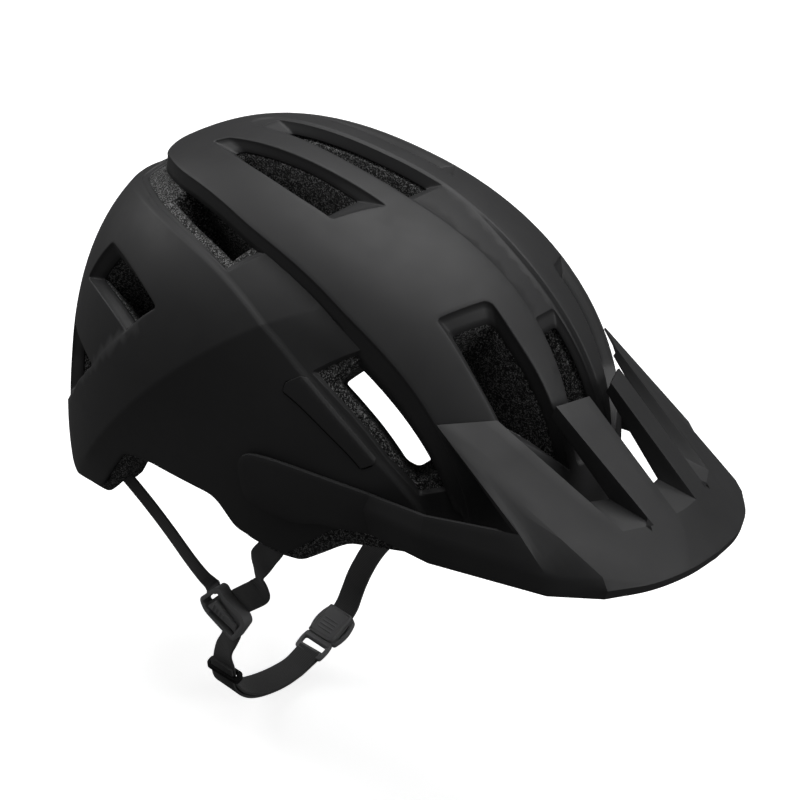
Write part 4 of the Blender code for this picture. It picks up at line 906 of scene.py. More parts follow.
def build_foam(settings):
    """The foam liner: outer face, vent tunnels, rounded lower edge and the head space."""
    turns = np.radians(np.arange(0, 360, 1.2))
    outer = angles_of(rim_ring(FOAM_RIM, in_form, turns))
    inner_points = rim_ring(FOAM_RIM, in_cavity, turns)
    inner = angles_of(inner_points)
    edge = on_skin(outer, FOAM_DEPTH)
    above = on_skin(moved_out(outer, -3.2), FOAM_DEPTH)
    across = unit(inner_points - edge)
    beside = edge + across * 3.0
    rings = [(moved_out(outer, -6.5), 0.0), (moved_out(outer, -3.2), 0.0)]
    for t in (0.2, 0.4, 0.6, 0.8, 1.0):
        rings.append((bend(above, edge, beside, t), 0.0))
    lifted = cavity(moved_out(inner, -2.2))
    near = inner_points - across * 2.0
    for t in (0.0, 0.25, 0.5, 0.75, 1.0):
        rings.append((bend(near, inner_points, lifted, t), 0.0))
    stacks, flares = [rings], []
    vents = [*both_sides(TOP_VENT), *both_sides(FRONT_VENT), *both_sides(REAR_VENT_A), *both_sides(REAR_VENT_B),
             *both_sides(NAPE_VENT), TAIL_VENT, (*CROWN_HOLE[:2], 6.0), (*BROW_HOLE[:2], 6.0)]
    tunnels = [*both_sides((REAR_CHANNEL_FOAM, REAR_CHANNEL_FOAM, 0.0)),
               *both_sides((SIDE_VENT_FOAM, SIDE_VENT_ROOM, 0.8))]
    for made, flare in [foam_rings(*vent) for vent in vents] + [tunnel_rings(*hole) for hole in tunnels]:
        stacks.append(made)
        flares.append(flare)
    shell_points, shell_faces = patch(stacks, 0, foam_floor, on_skin, [], settings.spacing)
    hollow = [[(moved_out(inner, -2.2), 0.0)]] + [[(flare, 0.0)] for flare in flares]
    room_points, room_faces = patch(hollow, 0, lambda q: np.zeros(len(q)), lambda q, d: cavity(q), [], 2.4)
    faces = shell_faces + [[i + len(shell_points) for i in face] for face in room_faces]
    foam = new_object("foam_liner", np.concatenate([shell_points, room_points]), faces)
    return finish_piece(foam, "bead_foam", "helmet", "black_foam", "eps_liner")


# ---------------------------------------------------------------- visor and side inserts
# the visor's right half: corners (x, y, height); those of its arm lie on the form's side at (y, height)
VISOR_ARM = {"pod_top": (-9, 41), "pod_back_top": (-4, 34), "pod_back_low": (-10, 16), "pod_low": (-14, 14),
             "pod_front": (-39, 11), "arm_low": (-46, 16), "arm_low_1": (-58, 16), "arm_low_2": (-72, 17),
             "arm_top_1": (-42, 40), "arm_top_2": (-70, 37), "arm_mid": (-22, 28), "arm_mid_1": (-45, 29),
             "arm_mid_2": (-68, 29)}
VISOR_CORNERS = {
    "r2_in": (-9.5, -131.8, 85), "r2_out": (-27.5, -125.5, 83.8), "r2_in_foot": (-9, -185, 46),
    "r2_out_foot": (-24, -182, 45),
    "r1_in": (-51.7, -110.4, 79.5), "r1_out": (-72.1, -91.6, 77.2), "r1_foot": (-39, -175, 45),
    "mid_foot": (0, -186, 46),
    "gap_out": (-36, -153, 49), "gap_in": (-24, -158, 48), "mid_floor": (-7, -165, 49), "mid_floor_0": (0, -166, 49),
    "wing": (-75.3, -143.6, 44.6), "crease": (-61, -180, 33), "arm_low_4": (-74, -161, 20),
    "arm_mid_4": (-74, -159, 30),
    "arm_top_3": (-90, -102, 42), "arm_mid_3": (-91.5, -103, 33), "arm_low_3": (-89, -107, 19),
    "r1_in_wall": (-50.5, -109.5, 76), "r2_out_wall": (-27, -123.5, 77.5), "r2_in_wall": (-10.5, -129.5, 79)}
THIN_TIPS = ("r1_in", "r1_out", "r2_in", "r2_out", "r1_in_wall", "r2_in_wall", "r2_out_wall")
VISOR_LIP = ((0, -205, 31), (-22, -203, 30.5), (-43, -196, 29), (-62, -184, 28))
VISOR_DROP = ((0, -204.5, 27), (-22, -202.5, 26.5), (-43, -195.5, 25), (-61.5, -183, 23))
LIP_CUTS = 8
FOLD_ANGLE, NEAR_TIP = 9.0, 0.1 * MM
ARM_CLEAR = 2.2


def lip_names(kind, first, last):
    """Names of the lip's points between two of its corners, counted from the midline."""
    return tuple("%s_%d" % (kind, i) for i in range(first * LIP_CUTS, last * LIP_CUTS + 1))


def visor_faces():
    faces = [
        ("r2_in", "r2_out", "r2_out_foot", "r2_in_foot"),
        ("r1_in", "r1_out", "crease", "lip_%d" % (2 * LIP_CUTS), "r1_foot"),
        ("mid_foot", "r2_in_foot", *lip_names("lip", 0, 1)[::-1]),
        ("r2_in_foot", "r2_out_foot", "r1_foot", *lip_names("lip", 1, 2)[::-1]),
        ("crease", *lip_names("lip", 2, 3)[::-1]),
        ("r1_foot", "r2_out_foot", "gap_in", "gap_out"),
        ("mid_foot", "r2_in_foot", "mid_floor", "mid_floor_0"),
        ("r1_in", "r1_foot", "gap_out", "r1_in_wall"),
        ("r2_out", "r2_out_foot", "gap_in", "r2_out_wall"),
        ("r2_in", "r2_in_foot", "mid_floor", "r2_in_wall"),
        ("r1_out", "wing", "arm_mid_4", "crease"),
        ("wing", "arm_top_3", "arm_mid_3", "arm_mid_4"),
        ("arm_mid_4", "arm_mid_3", "arm_low_3", "arm_low_4"),
        ("crease", "arm_mid_4", "arm_low_4", "drop_%d" % (3 * LIP_CUTS), "lip_%d" % (3 * LIP_CUTS)),
        ("arm_top_3", "arm_top_2", "arm_mid_2", "arm_mid_3"),
        ("arm_mid_3", "arm_mid_2", "arm_low_2", "arm_low_3"),
        ("arm_top_2", "arm_top_1", "arm_mid_1", "arm_mid_2"),
        ("arm_top_1", "pod_top", "arm_mid", "arm_mid_1"),
        ("arm_mid_2", "arm_mid_1", "arm_low_1", "arm_low_2"),
        ("arm_mid_1", "arm_mid", "arm_low", "arm_low_1"),
        ("pod_top", "pod_back_top", "arm_mid"),
        ("pod_back_top", "pod_back_low", "arm_mid"),
        ("pod_back_low", "pod_low", "arm_mid"),
        ("pod_low", "pod_front", "arm_mid"),
        ("pod_front", "arm_low", "arm_mid"),
    ]
    for i in range(3 * LIP_CUTS):
        faces.append(("lip_%d" % i, "lip_%d" % (i + 1), "drop_%d" % (i + 1), "drop_%d" % i))
    return faces


def side_reach(y, z):
    """The form's half width at a place seen from the side, tucked in under the crease."""
    low, high = 0.0, HALF_WIDTH
    for _ in range(30):
        mid = (low + high) / 2
        low, high = (mid, high) if form_value(np.float64(mid), y, z) < 0 else (low, mid)
    return low - fold_shift(y, z)


def hold_folds(made, angle, tips):
    """Creases the folds, borders and tips of an open surface, so that subdivision keeps them sharp."""
    bm = bmesh.new()
    bm.from_mesh(made.data)
    crease = bm.edges.layers.float.new("crease_edge")
    for edge in bm.edges:
        if edge.is_boundary or edge.calc_face_angle(0.0) > math.radians(angle):
            edge[crease] = 1.0
    corner = bm.verts.layers.float.new("crease_vert")
    for v in bm.verts:
        if np.linalg.norm(tips - np.array(v.co), axis=1).min() < NEAR_TIP:
            v[corner] = 1.0
    bm.to_mesh(made.data)
    bm.free()


def build_visor(settings):
    """The visor: ribs that flow from the cap's, gaps between them, a rounded lip and two side arms."""
    thick = settings.wall * 1000
    corners = {name: (-side_reach(y, z) - ARM_CLEAR - thick, y, z) for name, (y, z) in VISOR_ARM.items()}
    x, y, z = corners["arm_mid"]
    corners["arm_mid"] = (x - settings.crease * 1000, y, z)
    corners.update(VISOR_CORNERS)
    for kind, line in (("lip", VISOR_LIP), ("drop", VISOR_DROP)):
        for i, p in enumerate(smooth_line(line, LIP_CUTS)):
            corners["%s_%d" % (kind, i)] = tuple(p)
    names = list(corners)
    half = np.array([corners[n] for n in names], float)
    order = {n: i for i, n in enumerate(names)}
    right = [[order[n] for n in face] for face in visor_faces()]
    left = [[i + len(names) for i in reversed(face)] for face in right]
    visor = new_object("visor_blade", np.concatenate([half, half * [-1, 1, 1]]), right + left, closed=False)
    tips = world([np.multiply(corners[n], (side, 1, 1)) for n in THIN_TIPS for side in (1, -1)])
    held = visor.vertex_groups.new(name="wall")
    for v in visor.data.vertices:
        near = np.linalg.norm(tips - np.array(v.co), axis=1).min() < NEAR_TIP
        held.add([v.index], settings.tip / settings.wall if near else 1.0, "REPLACE")
    hold_folds(visor, FOLD_ANGLE, tips)
    apply_step(visor, "SUBSURF", levels=2, render_levels=2)
    apply_step(visor, "SOLIDIFY", thickness=settings.wall, offset=-1.0, use_even_offset=True, vertex_group="wall")
    apply_step(visor, "BEVEL", width=settings.edge, segments=3, limit_method="ANGLE", angle_limit=math.radians(24))
    take(visor)
    bpy.ops.object.shade_smooth_by_angle(angle=math.radians(32))
    return finish_piece(visor, "matte_black_visor", "visor", "black_visor", "visor")


def insert_floor(angles):
    """Depth of a side strip: proud of the side, with a broad bevel along its upper border."""
    return profile(past_side_edge(angles), INSERT_FACET) - INSERT_PROUD


def build_inserts():
    """The strips let into the upper edge of each side, over the visor's arms."""
    for side, corners in (("left", INSERT), ("right", mirrored(INSERT))):
        loop = rounded(corners)[0]
        rings = lip_rings(loop, -1, 0.2, 0.3)
        rings += [(loop, 1.2), (moved_out(loop, -0.3), 2.0)]
        lines = [evened(ring_of(SIDE_EDGE, d), 2.0) for d in (0.4, -0.1, -2.0)]
        points, faces = patch([rings], 0, insert_floor, on_skin, lines, INSERT_SPACING)
        strip = new_object("insert_" + side, points, faces, closed=False)
        wall(strip, INSERT_WALL)
        finish_piece(strip, "matte_black_visor", "helmet", "black_shell", "side_insert_" + side)


# ---------------------------------------------------------------- webbing
# places on the wearer's right (x, y, height), or on the left for the far chin strap, and beside them the
# direction of the band's width
REAR_STRAP = (((-80.4, 92, -13), (-0.35, -0.59, 0.73)), ((-79, 79, -22), (-0.35, -0.59, 0.73)),
              ((-78.2, 66, -30.6), (-0.35, -0.59, 0.73)), ((-77.6, 52, -40.6), (-0.35, -0.59, 0.73)),
              ((-76.4, 38.4, -52), (-0.34, -0.59, 0.73)), ((-74.8, 31, -58.6), (-0.32, -0.6, 0.74)),
              ((-73.2, 27, -62), (-0.25, -0.62, 0.76)), ((-73.8, 24.8, -63.6), (-0.15, -0.62, 0.77)),
              ((-76.6, 23.2, -64.8), (-0.05, -0.62, 0.78)))
FRONT_STRAP = (((-84.9, -21.2, 1), (0.25, 1, 0.1)), ((-84.6, -20.6, -5), (0.25, 1, 0.1)),
               ((-83.8, -18.5, -13), (0.25, 1, 0.1)), ((-82, -13.5, -21), (0.2, 1, 0.15)),
               ((-80.2, -8.8, -28), (0, 1, 0.2)), ((-78.6, -5.8, -34.5), (0.35, 0.9, -0.1)),
               ((-77.9, -5.8, -39.7), (0.6, 0.8, -0.3)), ((-77.6, -7.6, -44.4), (0.35, 0.9, 0.1)),
               ((-77.2, -6.4, -49.4), (0, 0.9, 0.45)), ((-76.2, 0.2, -56.2), (0, 0.84, 0.54)),
               ((-74.2, 5.4, -61.4), (0, 0.87, 0.49)), ((-73, 8, -64.2), (0, 0.9, 0.42)),
               ((-73.8, 9, -66.8), (0, 0.91, 0.4)), ((-76.6, 9.4, -68.2), (0, 0.91, 0.4)))
CHIN_STRAP = (((-76.4, 12.6, -79), (0, 0.89, 0.46)), ((-74, 12.4, -80.2), (0, 0.89, 0.46)),
              ((-72.6, 12.2, -82.6), (0, 0.89, 0.46)), ((-72.2, 12.8, -87), (0.3, 0.9, 0.3)),
              ((-71.2, 15, -93.4), (0.45, 0.88, 0.15)), ((-69.2, 17.8, -101), (0.25, 0.95, 0.1)),
              ((-65.9, 19.8, -110.4), (0, 0.98, 0)), ((-62.9, 21.2, -117.1), (0, 0.98, -0.02)),
              ((-60.2, 22.4, -123.1), (0, 0.98, 0)), ((-55.5, 23.2, -129.2), (0, 0.97, 0.08)),
              ((-48.5, 23.7, -135.6), (0, 0.96, 0.18)), ((-39, 24, -141.3), (0, 0.95, 0.26)),
              ((-27, 24, -145.4), (0, 0.95, 0.28)), ((-13, 23.7, -147.8), (0, 0.96, 0.24)),
              ((0, 23.1, -147.4), (0, 0.98, 0.12)), ((8.4, 22.4, -143.6), (0, 0.99, 0.05)),
              ((12.2, 22, -141.5), (0, 0.99, 0.05)), ((14, 22.1, -143), (0, 0.99, 0.05)),
              ((12.9, 22.6, -145.2), (0, 0.99, 0.05)), ((7.4, 23.2, -147.6), (0, 0.99, 0.05)),
              ((-0.8, 23.8, -149.7), (0, 0.98, 0.12)), ((-13.4, 24.4, -149.9), (0, 0.96, 0.24)),
              ((-27.8, 24.8, -147.4), (0, 0.95, 0.28)), ((-40.2, 24.8, -143.1), (0, 0.95, 0.26)),
              ((-50, 24.5, -137.1), (0, 0.96, 0.18)), ((-57, 24, -130.4), (0, 0.97, 0.08)),
              ((-61.5, 22.9, -123.7), (0, 0.98, 0)), ((-64.2, 21.7, -117.7), (0, 0.98, -0.02)),
              ((-67.4, 20.3, -110.6), (0, 0.98, 0)))
FAR_CHIN_STRAP = (((55.2, 17.8, -96.4), (0, 0.99, 0.06)), ((49.9, 18.8, -103.4), (0, 0.99, 0)),
                  ((46, 19.6, -111), (0, 0.99, 0)), ((43.6, 20.1, -118.8), (0, 0.99, 0)),
                  ((41.4, 20.5, -125.6), (0, 0.99, 0.04)), ((37, 20.8, -130.4), (0, 0.99, 0.05)),
                  ((34, 20.8, -131.2), (0, 0.99, 0.05)), ((33.8, 20.2, -129.5), (0, 0.99, 0.05)),
                  ((36.5, 19.8, -127.9), (0, 0.99, 0.05)), ((39.2, 19.3, -123.8), (0, 0.99, 0.04)),
                  ((41.8, 19, -117.4), (0, 0.99, 0)), ((44.3, 18.4, -110), (0, 0.99, 0)),
                  ((48.4, 17.6, -102), (0, 0.99, 0)), ((54.4, 16.6, -94.4), (0, 0.98, 0.1)),
                  ((63.6, 15, -88), (0, 0.95, 0.25)), ((71.6, 13, -85), (0, 0.9, 0.42)),
                  ((73.4, 12.5, -81.6), (0, 0.89, 0.46)), ((76.4, 12.6, -79), (0, 0.89, 0.46)))


def band(name, line, settings, body, *nodes, steps=6):
    """Webbing along a line: rounded edges, closed ends, and a map in metres across and along."""
    spine = smooth_line([p for p, _ in line], steps)
    side = smooth_line([d for _, d in line], steps)
    along = unit(np.gradient(spine, axis=0))
    side = unit(side - (side * along).sum(1)[:, None] * along)
    face = np.cross(along, side)
    half, thin = settings.width * 500, settings.thickness * 500
    section = [(half - thin * (1 - math.sin(t)), thin * math.cos(t)) for t in np.linspace(0, math.pi, 7)]
    section += [(-a, b) for a, b in section[::-1]]
    rows = len(section)
    wide, high = np.array(section).T[:, None, :, None]
    points = (spine[:, None] + (wide * side[:, None] + high * face[:, None])).reshape(-1, 3)
    faces = []
    for i in range(len(spine) - 1):
        faces += [(rows * i + k, rows * i + (k + 1) % rows, rows * (i + 1) + (k + 1) % rows,
                   rows * (i + 1) + k) for k in range(rows)]
    faces += [tuple(range(rows)), tuple(reversed(range(rows * (len(spine) - 1), rows * len(spine))))]
    mesh = bpy.data.meshes.new(name)
    mesh.from_pydata(world(points).tolist(), [], faces)
    travelled = np.concatenate([[0], np.cumsum(np.linalg.norm(np.diff(spine, axis=0), axis=1))])
    places = mesh.uv_layers.new(name="band")
    for corner in mesh.loops:
        row, k = divmod(corner.vertex_index, rows)
        places.data[corner.index].uv = (section[k][0] * MM, travelled[row] * MM)
    bm = bmesh.new()
    bm.from_mesh(mesh)
    bmesh.ops.recalc_face_normals(bm, faces=bm.faces)
    bm.to_mesh(mesh)
    bm.free()
    made = bpy.data.objects.new(name, mesh)
    bpy.context.scene.collection.objects.link(made)
    mesh.shade_smooth()
    mesh.set_sharp_from_angle(angle=math.radians(60))
    return finish_piece(made, "black_webbing", body, "webbing", *nodes)


def on_side(line, sign):
    """The same line on the wearer's right for -1, or mirrored to the left for 1."""
    return [((-sign * p[0], *p[1:]), (-sign * d[0], *d[1:])) for p, d in line]


def build_straps(settings):
    """The front, rear and chin webbing, doubled back at the buckle."""
    for side, sign in (("left", 1), ("right", -1)):
        band("rear_webbing_" + side, on_side(REAR_STRAP, sign), settings, "helmet", "rear_strap_" + side)
        band("front_webbing_" + side, on_side(FRONT_STRAP, sign), settings, "helmet", "front_strap_" + side)
    band("chin_webbing_right", CHIN_STRAP, settings, "helmet", "chin_strap_right", steps=8)
    band("chin_webbing_left", FAR_CHIN_STRAP, settings, "helmet", "chin_strap_left", steps=8)


# ---------------------------------------------------------------- hardware
def frame_at(origin, along, across):
    """A placement whose Z runs along, X across, and Y is the face's normal."""
    z = Vector(along).normalized()
    x = (Vector(across) - Vector(across).dot(z) * z).normalized()
    place = Matrix((x, z.cross(x), z)).transposed().to_4x4()
    place.translation = Vector(origin)
    return place


def oblong(half, low, high, *radius):
    """A rectangle's corners, as wide to each side of the middle."""
    return [(a, b, *radius) for a, b in ((-half, low), (half, low), (half, high), (-half, high))]


def soft_outline(corners, radius, samples=5):
    """A flat outline with its corners rounded; a corner may carry its own radius."""
    pts = [Vector(c[:2]) for c in corners]
    line = []
    for i, here in enumerate(pts):
        before, after = pts[i - 1], pts[(i + 1) % len(pts)]
        size = corners[i][2] if len(corners[i]) > 2 else radius
        cut = min(size * 1.2, 0.48 * (before - here).length, 0.48 * (after - here).length)
        start, stop = here + (before - here).normalized() * cut, here + (after - here).normalized() * cut
        line += [bend(start, here, stop, t) for t in np.linspace(0, 1, samples)]
    return [tuple(p) for p in line]


def slab(name, outline, low, high, place):
    """A flat piece from a filled circle moved to an outline in the placement's X and Z, and extruded along its Y."""
    clear_selection()
    bpy.ops.mesh.primitive_circle_add(vertices=len(outline), radius=0.01, fill_type="NGON")
    made = bpy.context.object
    made.name = name
    for v, (x, z) in zip(made.data.vertices, outline):
        v.co = (x * MM, low * MM, z * MM)
    bpy.ops.object.mode_set(mode="EDIT")
    bpy.ops.mesh.select_all(action="SELECT")
    bpy.ops.mesh.extrude_region_move(TRANSFORM_OT_translate={"value": (0, (high - low) * MM, 0)})
    bpy.ops.mesh.select_all(action="SELECT")
    bpy.ops.mesh.normals_make_consistent(inside=False)
    bpy.ops.object.mode_set(mode="OBJECT")
    lowered = place.copy()
    lowered.translation = (place.translation - Vector((0, 0, SEAT_Z))) * MM
    made.data.transform(lowered)
    if place.determinant() < 0:
        made.data.flip_normals()
    return made


def cut(made, *cutters):
    """Takes cutters out of a piece and removes them."""
    for cutter in cutters:
        take(made)
        step = made.modifiers.new("cut", "BOOLEAN")
        step.operation, step.object, step.solver = "DIFFERENCE", cutter, "EXACT"
        bpy.ops.object.modifier_apply(modifier=step.name)
        bpy.data.objects.remove(cutter, do_unlink=True)
    return made


def softened(made, width, segments=3, angle=32.0):
    """Rounds the edges of a moulded piece and smooths its shading."""
    apply_step(made, "BEVEL", width=width * MM, segments=segments, limit_method="ANGLE",
               angle_limit=math.radians(angle))
    take(made)
    bpy.ops.object.shade_smooth_by_angle(angle=math.radians(40))
    return made


def joined(*pieces):
    clear_selection()
    for piece in pieces:
        piece.select_set(True)
    bpy.context.view_layer.objects.active = pieces[0]
    bpy.ops.object.join()
    return bpy.context.object


def moved_in(outline, distance):
    """A flat outline moved inward by a distance."""
    pts = np.array(outline, float)
    before, after = np.roll(pts, 1, axis=0), np.roll(pts, -1, axis=0)
    area = 0.5 * np.sum(pts[:, 0] * after[:, 1] - after[:, 0] * pts[:, 1])
    edge = after - before
    size = np.maximum(np.linalg.norm(edge, axis=1), 1e-9)[:, None]
    inward = np.stack([-edge[:, 1], edge[:, 0]], axis=1) / size * (1 if area > 0 else -1)
    return [tuple(p) for p in pts + inward * distance]


# the plate where a side's straps meet: (y, height) with radii, its slots, and its cam lever
DIVIDER = ((18.5, -57.3, 2.2), (28.3, -68.5, 2.2), (24.8, -74.3, 4), (4.8, -83.8, 2.6), (-1.9, -70.3, 2.6),
           (0.4, -66.4, 2.2), (12.1, -61.2, 5), (15.4, -57.2, 2.2))
DIVIDER_SLOTS = (((19.2, -61.2), (26, -69.2), (24.6, -70.6), (17.8, -62.6)),
                 ((13.4, -63.8), (1.8, -69), (1.2, -71.4), (12.6, -66.2)),
                 ((21.8, -74.2), (6, -81.6), (6.6, -79.4), (20.8, -72.8)))
DIVIDER_WELL = ((17.2, -60.4), (25.4, -69.4), (23.2, -72.4), (5.8, -80.8), (0.8, -70.8), (2.4, -68.7), (12.9, -63.7))
DIVIDER_X = (73.6, 77.4, 79.9)
LEVER = ((22.8, -70.8, 0.8), (17.8, -65.2, 0.8), (3.6, -74.4, 1), (5, -77.4, 1))
LEVER_X = (77.6, 79.7)
LEVER_RIDGES = (0.0, 2.0, 4.0, 6.0)


def side_place(sign):
    """A placement that lays (y, height) outlines on the wearer's right (-1) or left (1), thick outward."""
    return Matrix(((0, sign, 0, 0), (1, 0, 0, 0), (0, 0, 1, 0), (0, 0, 0, 1)))


def build_dividers(settings):
    """The strap dividers with their slots, raised rims and cam levers."""
    base, top, rim = DIVIDER_X
    for side, sign in (("left", 1), ("right", -1)):
        place = side_place(sign)
        outline = soft_outline(DIVIDER, 2.0)
        plate = slab("divider_" + side, outline, base, rim, place)
        cut(plate, slab("well", soft_outline(DIVIDER_WELL, 0.9, 3), top, rim + 2, place))
        for slot in DIVIDER_SLOTS:
            cut(plate, slab("slot", soft_outline(slot, 0.7, 3), base - 2, rim + 2, place))
        softened(plate, settings.edge * 1000)
        fitting(plate, "helmet", "strap_divider_" + side)
        inner, outer = LEVER_X
        lever = softened(slab("lever_" + side, soft_outline(LEVER, 1.0), inner, outer, place), settings.edge * 700)
        ridges = []
        for along in LEVER_RIDGES:
            y, z = 18.0 - along, -68.2 - along * 0.55
            ridge = ((y, z), (y + 0.9, z + 0.4), (y + 2.0 - along * 0.1, z - 2.9 + along * 0.2),
                     (y + 1.1 - along * 0.1, z - 3.3 + along * 0.2))
            raised = slab("ridge", soft_outline(ridge, 0.3, 3), outer - 0.3, outer + 0.45, place)
            ridges.append(softened(raised, 0.2, 2))
        fitting(joined(lever, *ridges), "lever_" + side, "cam_lever_" + side)


KEEPER_AT, KEEPER_ALONG, KEEPER_ACROSS = (-62.9, 21.2, -117.1), (5.6, 2.5, -12.6), (0, 0.96, -0.05)
BUCKLE_AT, BUCKLE_ALONG, BUCKLE_ACROSS = (19, 21.5, -138.5), (0.86, -0.08, 0.5), (0, 0.99, 0.05)
# outlines of the buckle's pieces: (across the strap, along it)
CATCH = ((-8.8, -10.6, 1.6), (8.8, -10.6, 1.6), (9.5, -4, 6), (8.7, 1.2, 1.2), (-8.7, 1.2, 1.2), (-9.5, -4, 6))
CATCH_WINDOW = ((-7.3, -6.6), (7.3, -6.6), (7.4, -2.6), (-7.4, -2.6))
BODY_PLATE = ((-9.0, 1.5, 1.2), (9.0, 1.5, 1.2), (10.9, 8, 8), (10.7, 14, 6), (8.8, 20.4, 2.0), (-8.8, 20.4, 2.0),
              (-10.7, 14, 6), (-10.9, 8, 8))
BODY_GAP = ((8.4, 4.4), (9.5, 7), (9.6, 12.5), (8.4, 16.6))
LID = ((-8.3, 0.9, 3.2), (8.3, 0.9, 1.0), (7.7, 20.2, 1.0), (-7.7, 20.2, 1.0))
BODY_RAIL = oblong(5, 4, 16)
TAB = ((-3, 4.6, 0.8), (1.2, 4.6, 0.8), (1.2, 15.4, 0.8), (-3, 15.4, 0.8))


# the buckle's layers, from the face against the chin outward, and its lid's grip ridges along the strap
TAB_LAYER, TRAY_LAYER, CATCH_LAYER = (-4.6, -1.8), (-3.4, 0.3), (-1.6, 1.6)
LID_LAYER, PANEL_LAYER, RIDGE_LAYER = (0.6, 3.2), (3.0, 3.5), (3.3, 3.9)
LID_RIDGES = (5.0, 7.2, 9.4, 11.6)


def build_buckle(settings):
    """The magnetic slide buckle, its release tab and the keeper on the chin strap."""
    place = frame_at(BUCKLE_AT, BUCKLE_ALONG, BUCKLE_ACROSS)
    edge = settings.edge * 1000
    catch = cut(slab("catch_frame", soft_outline(CATCH, 1.5), *CATCH_LAYER, place),
                slab("hole", soft_outline(CATCH_WINDOW, 1.0), -6, 6, place))
    softened(catch, edge)
    step = softened(slab("catch_step", ((-7.9, -2.2), (7.9, -2.2), (7.8, 0.6), (-7.8, 0.6)), 1.2, 2.3, place), 0.5)
    fitting(joined(catch, step), "helmet", "buckle_catch")
    outline, lid = soft_outline(BODY_PLATE, 2.0), soft_outline(LID, 1.2)
    tray = cut(slab("buckle_tray", outline, *TRAY_LAYER, place),
               slab("rail", soft_outline(BODY_RAIL, 0.8), -5, -1.4, place))
    for side in (-1, 1):
        cut(tray, slab("gap", soft_outline([(side * a, b) for a, b in BODY_GAP], 0.6), -6, 6, place))
    parts = [softened(tray, edge), softened(slab("buckle_lid", lid, *LID_LAYER, place), edge)]
    parts.append(softened(slab("panel", moved_in(lid, 1.5), *PANEL_LAYER, place), 0.2, 2))
    for along in LID_RIDGES:
        ridge = soft_outline(oblong(4.6, along, along + 0.9), 0.3, 3)
        parts.append(softened(slab("ridge", ridge, *RIDGE_LAYER, place), 0.2, 2))
    fitting(joined(*parts), "helmet", "buckle_body")
    tab = softened(slab("slide_tab", soft_outline(TAB, 0.8), *TAB_LAYER, place), 0.5)
    fitting(tab, "release_tab", "release_tab")
    ring = frame_at(KEEPER_AT, KEEPER_ALONG, KEEPER_ACROSS)
    outer, bore = oblong(9.6, -2.6, 2.6, 1.6), oblong(7.8, -1.95, 1.55, 0.8)
    turned = ring @ Matrix(((1, 0, 0, 0), (0, 0, 1, 0), (0, 1, 0, 0), (0, 0, 0, 1)))
    bands = []
    for low, high, grow in ((-2.3, 2.3, 0.0), (-1.8, -0.5, -0.5), (0.5, 1.8, -0.5)):
        strip = slab("keeper_band", moved_in(soft_outline(outer, 1.5), grow), low, high, turned)
        cut(strip, slab("bore", soft_outline(bore, 0.8), -9, 9, turned))
        bands.append(softened(strip, 0.4, 2))
    finish_piece(joined(*bands), "dark_rubber", "keeper", "dark_plastic", "strap_keeper")


# ---------------------------------------------------------------- cradle and small parts
# the belt arm seen from above: out from the midline, and back
ARM_PATH = ((4, 98), (20, 98), (36, 97.5), (46, 88.5), (54.2, 77), (58.2, 71), (61, 61), (66.5, 42), (69.5, 20))
ARM_HEIGHT, ARM_THICK = 7.5, 1.8
# how far back each layer starts and ends, and the heights of the ladder's rungs
YOKE_Y, SPINE_Y, CASE_Y, TUNNEL_Y = (93.2, 95.8), (102.0, 105.0), (96.1, 107.0), (96.7, 99.3)
RUNGS = (0.0, 7.0, 14.0, 21.0, 28.0)
RACK_UP, RACK_DOWN, TEMPLE_Z = -17.5, -27.5, 13.0
DIAL_AT, DIAL_RADIUS, DIAL_FLUTES = (0, 107.4, -22.5), 15.0, 24
YOKE = ((-26, -38, 3), (-12, -35, 8), (12, -35, 8), (26, -38, 3), (29, -31, 3), (23, -12, 6), (9, -7, 4),
        (-9, -7, 4), (-23, -12, 6), (-29, -31, 3))


